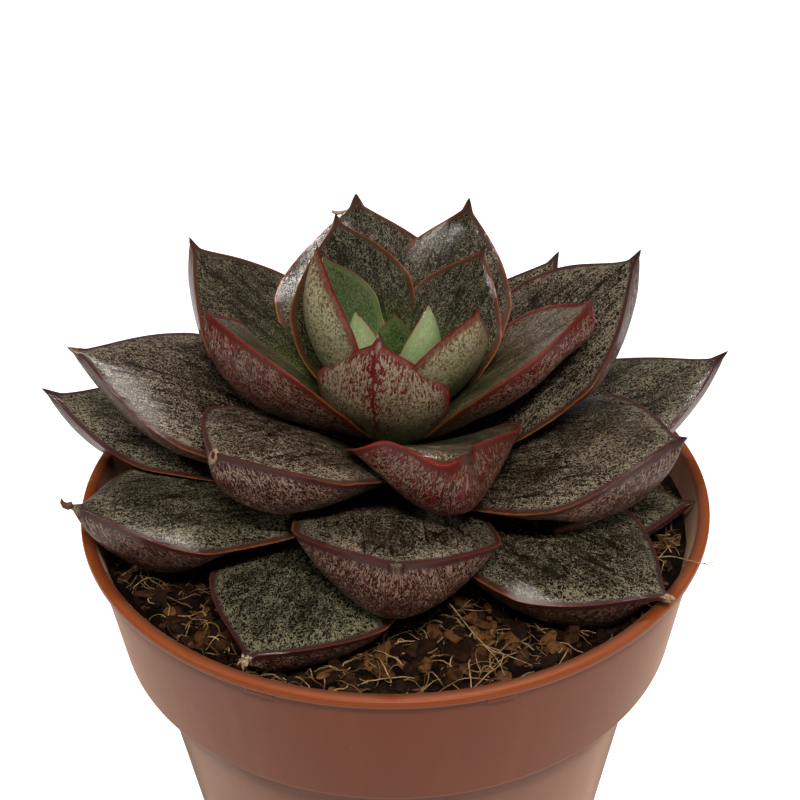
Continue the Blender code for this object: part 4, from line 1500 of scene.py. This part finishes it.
def bent_path(knots, steps=8):
    """A smooth path through a few points, given with heights above the lip's lower edge."""
    knots = [Vector(k) + Vector((0, 0, LIP_EDGE)) for k in knots]
    ends = [2 * knots[0] - knots[1]] + knots + [2 * knots[-1] - knots[-2]]
    path = []
    for a, b, c, d in zip(ends, ends[1:], ends[2:], ends[3:]):
        for k in range(steps):
            t = k / steps
            square = (2 * a - 5 * b + 4 * c - d) * t**2
            cube = (3 * b - a - 3 * c + d) * t**3
            path.append(0.5 * (2 * b + (c - a) * t + square + cube))
    path.append(knots[-1])
    return path


# Papery slivers round a dried point: the leaf, how many and how long
DRIED_FLAKES = (("fine_leaf_03", 9, 1.0), ("fine_leaf_06", 7, 0.9))
# Single dried bits: the leaf, steps from its tip, thicknesses, sides and tone
DRIED_BITS = (
    (
        "fine_leaf_07",
        ((0.9, 0.3, -0.2), (0.2, 0, -0.3), (-0.3, 0, -0.1), (-0.6, 0, 0.5), (-0.6, 0, 1.2)),
        (0.5, 0.6, 0.5, 0.3, 0.06), 10, 0.05,
    ),
    (
        "inner_leaf_08",
        ((-0.6, 0.5, 0.1), (0.2, 0.6, -0.2), (1.0, 0.5, -0.1), (1.7, 0.4, 0.3)),
        (0.2, 0.34, 0.3, 0.1), 8, 0.7,
    ),
)
# Loose hairs: points with heights above the lip's lower edge, then the thickness
HAIRS = (
    (((7.8, -33.3, 2.4), (12.5, -40.3, 0.6), (15.9, -41.6, -0.4), (19.2, -43.5, -0.6)), 0.09),
    (((12.5, -40.3, 0.5), (14.2, -42.6, -0.2), (15.1, -45.4, -0.6)), 0.07),
    (
        ((41.0, -19.0, -1.0), (43.3, -20.8, 0.6), (45.4, -23.5, 1.9), (47.2, -24.7, 2.3),
         (49.4, -24.8, 2.9)),
        0.11,
    ),
    (((47.2, -24.7, 2.3), (48.6, -25.4, 2.2), (49.8, -25.6, 2.4)), 0.07),
    (((-48.3, -21.6, 13.6), (-48.0, -22.0, 14.6), (-47.2, -22.0, 16.7), (-45.8, -21.6, 17.5)), 0.05),
    (((-47.6, -21.4, 14.0), (-46.9, -22.0, 16.2), (-45.2, -21.6, 17.9)), 0.045),
    (((27.4, -20.0, 6.3), (30.4, -18.9, 6.1), (33.1, -17.3, 6.1), (36.1, -14.5, 5.0)), 0.07),
)
# The middle line of the brown chip that has fallen on a leaf, its heights measured the same way
FALLEN_CHIP = ((24.3, -21.2, 6.2), (25.9, -20.3, 6.2), (27.9, -19.4, 6.0), (29.7, -19.0, 5.8))


def make_dried_bits(leaves, finish):
    """The scar, the dried points, the loose hairs and the chip that has fallen on a leaf."""
    by_name = {leaf.name: leaf for leaf in leaves}
    make_scar(by_name["fine_leaf_17"], finish)
    draw = random.Random(FLAKE_SEED)
    tubes, tones = [], []
    for name, count, length in DRIED_FLAKES:
        more, shades = dried_flakes(by_name[name], draw, count, length)
        tubes += more
        tones += shades
    for name, steps, radii, sides, tone in DRIED_BITS:
        tip, _ = end_of(by_name[name])
        tubes.append(strand([tip + Vector(step) for step in steps], radii, sides))
        tones.append(tone)
    tube_object("dried_points", tubes, finish, "leaf", tones)
    hairs = []
    for knots, thick in HAIRS:
        path = bent_path(knots)
        hairs.append(strand(path, thinning(path, thick, 0.6)))
    tones = [0.85] * len(hairs) + [0.0]
    chip = bent_path(FALLEN_CHIP)
    last = len(chip) - 1
    radii = [0.25 + 0.5 * math.sin(math.pi * k / last) ** 0.5 for k in range(len(chip))]
    hairs.append(strand(chip, radii, 7))
    tube_object("stray_fibres", hairs, finish, "potting_soil", tones)


# Stage


def make_stage():
    deselect()
    bpy.ops.mesh.primitive_plane_add(size=8)
    floor = bpy.context.active_object
    floor.name = "floor"
    floor.data.materials.append(floor_material())


def add_light(name, place, size, power):
    light = bpy.data.lights.new(name, "AREA")
    light.shape = "RECTANGLE"
    light.size, light.size_y = size
    light.energy = power
    light.color = LIGHT_COLOUR
    obj = bpy.data.objects.new(name, light)
    bpy.context.collection.objects.link(obj)
    obj.location = place
    aim = Vector((0, 0, (LIP_EDGE + 10) * MM)) - Vector(place)
    obj.rotation_euler = aim.to_track_quat("-Z", "Y").to_euler()


def make_lights():
    world = bpy.data.worlds.new("studio")
    bpy.context.scene.world = world
    world.use_nodes = True
    g = Graph(world.node_tree)
    background = world.node_tree.nodes["Background"]
    background.inputs["Color"].default_value = (1.0, 0.985, 0.96, 1.0)
    seen = g.node("ShaderNodeLightPath").outputs["Is Camera Ray"]
    g.feed(background.inputs["Strength"], g.between(seen, ROOM_GLOW, 1.0))
    for name, row in LIGHTS.items():
        add_light(name, *row)


def make_camera():
    data = bpy.data.cameras.new("camera")
    data.lens = CAMERA_LENS
    data.sensor_width = SENSOR
    data.clip_start = 0.01
    camera = bpy.data.objects.new("camera", data)
    bpy.context.collection.objects.link(camera)
    place, aim = Vector(CAMERA_PLACE) * MM, Vector(CAMERA_AIM) * MM
    ahead = (aim - place).normalized()
    right = ahead.cross(Vector((0, 0, 1))).normalized()
    up = right.cross(ahead)
    roll = math.radians(CAMERA_ROLL)
    c, s = math.cos(roll), math.sin(roll)
    right, up = c * right + s * up, c * up - s * right
    camera.matrix_world = Matrix.Translation(place) @ Matrix((right, up, -ahead)).transposed().to_4x4()
    bpy.context.scene.camera = camera


def main():
    bpy.context.scene.view_settings.view_transform = "Standard"
    make_camera()
    make_lights()
    make_stage()
    leaf_nodes = tree_of_nodes(OUTER_LEAVES)
    leaves = make_leaves()
    make_pot(pot_material())
    make_stem(stem_material())
    soil = make_soil(soil_material())
    bark = litter_material("bark_chip", srgb(30, 16, 8), srgb(124, 82, 46), 900.0)
    surface = scatter_chips(bark, soil, leaf_nodes)
    make_dried_bits(leaves, dried_material())
    coir = litter_material("coir", srgb(84, 54, 28), srgb(196, 160, 112), 600.0)
    scatter_fibres(coir, surface, leaf_nodes)


main()
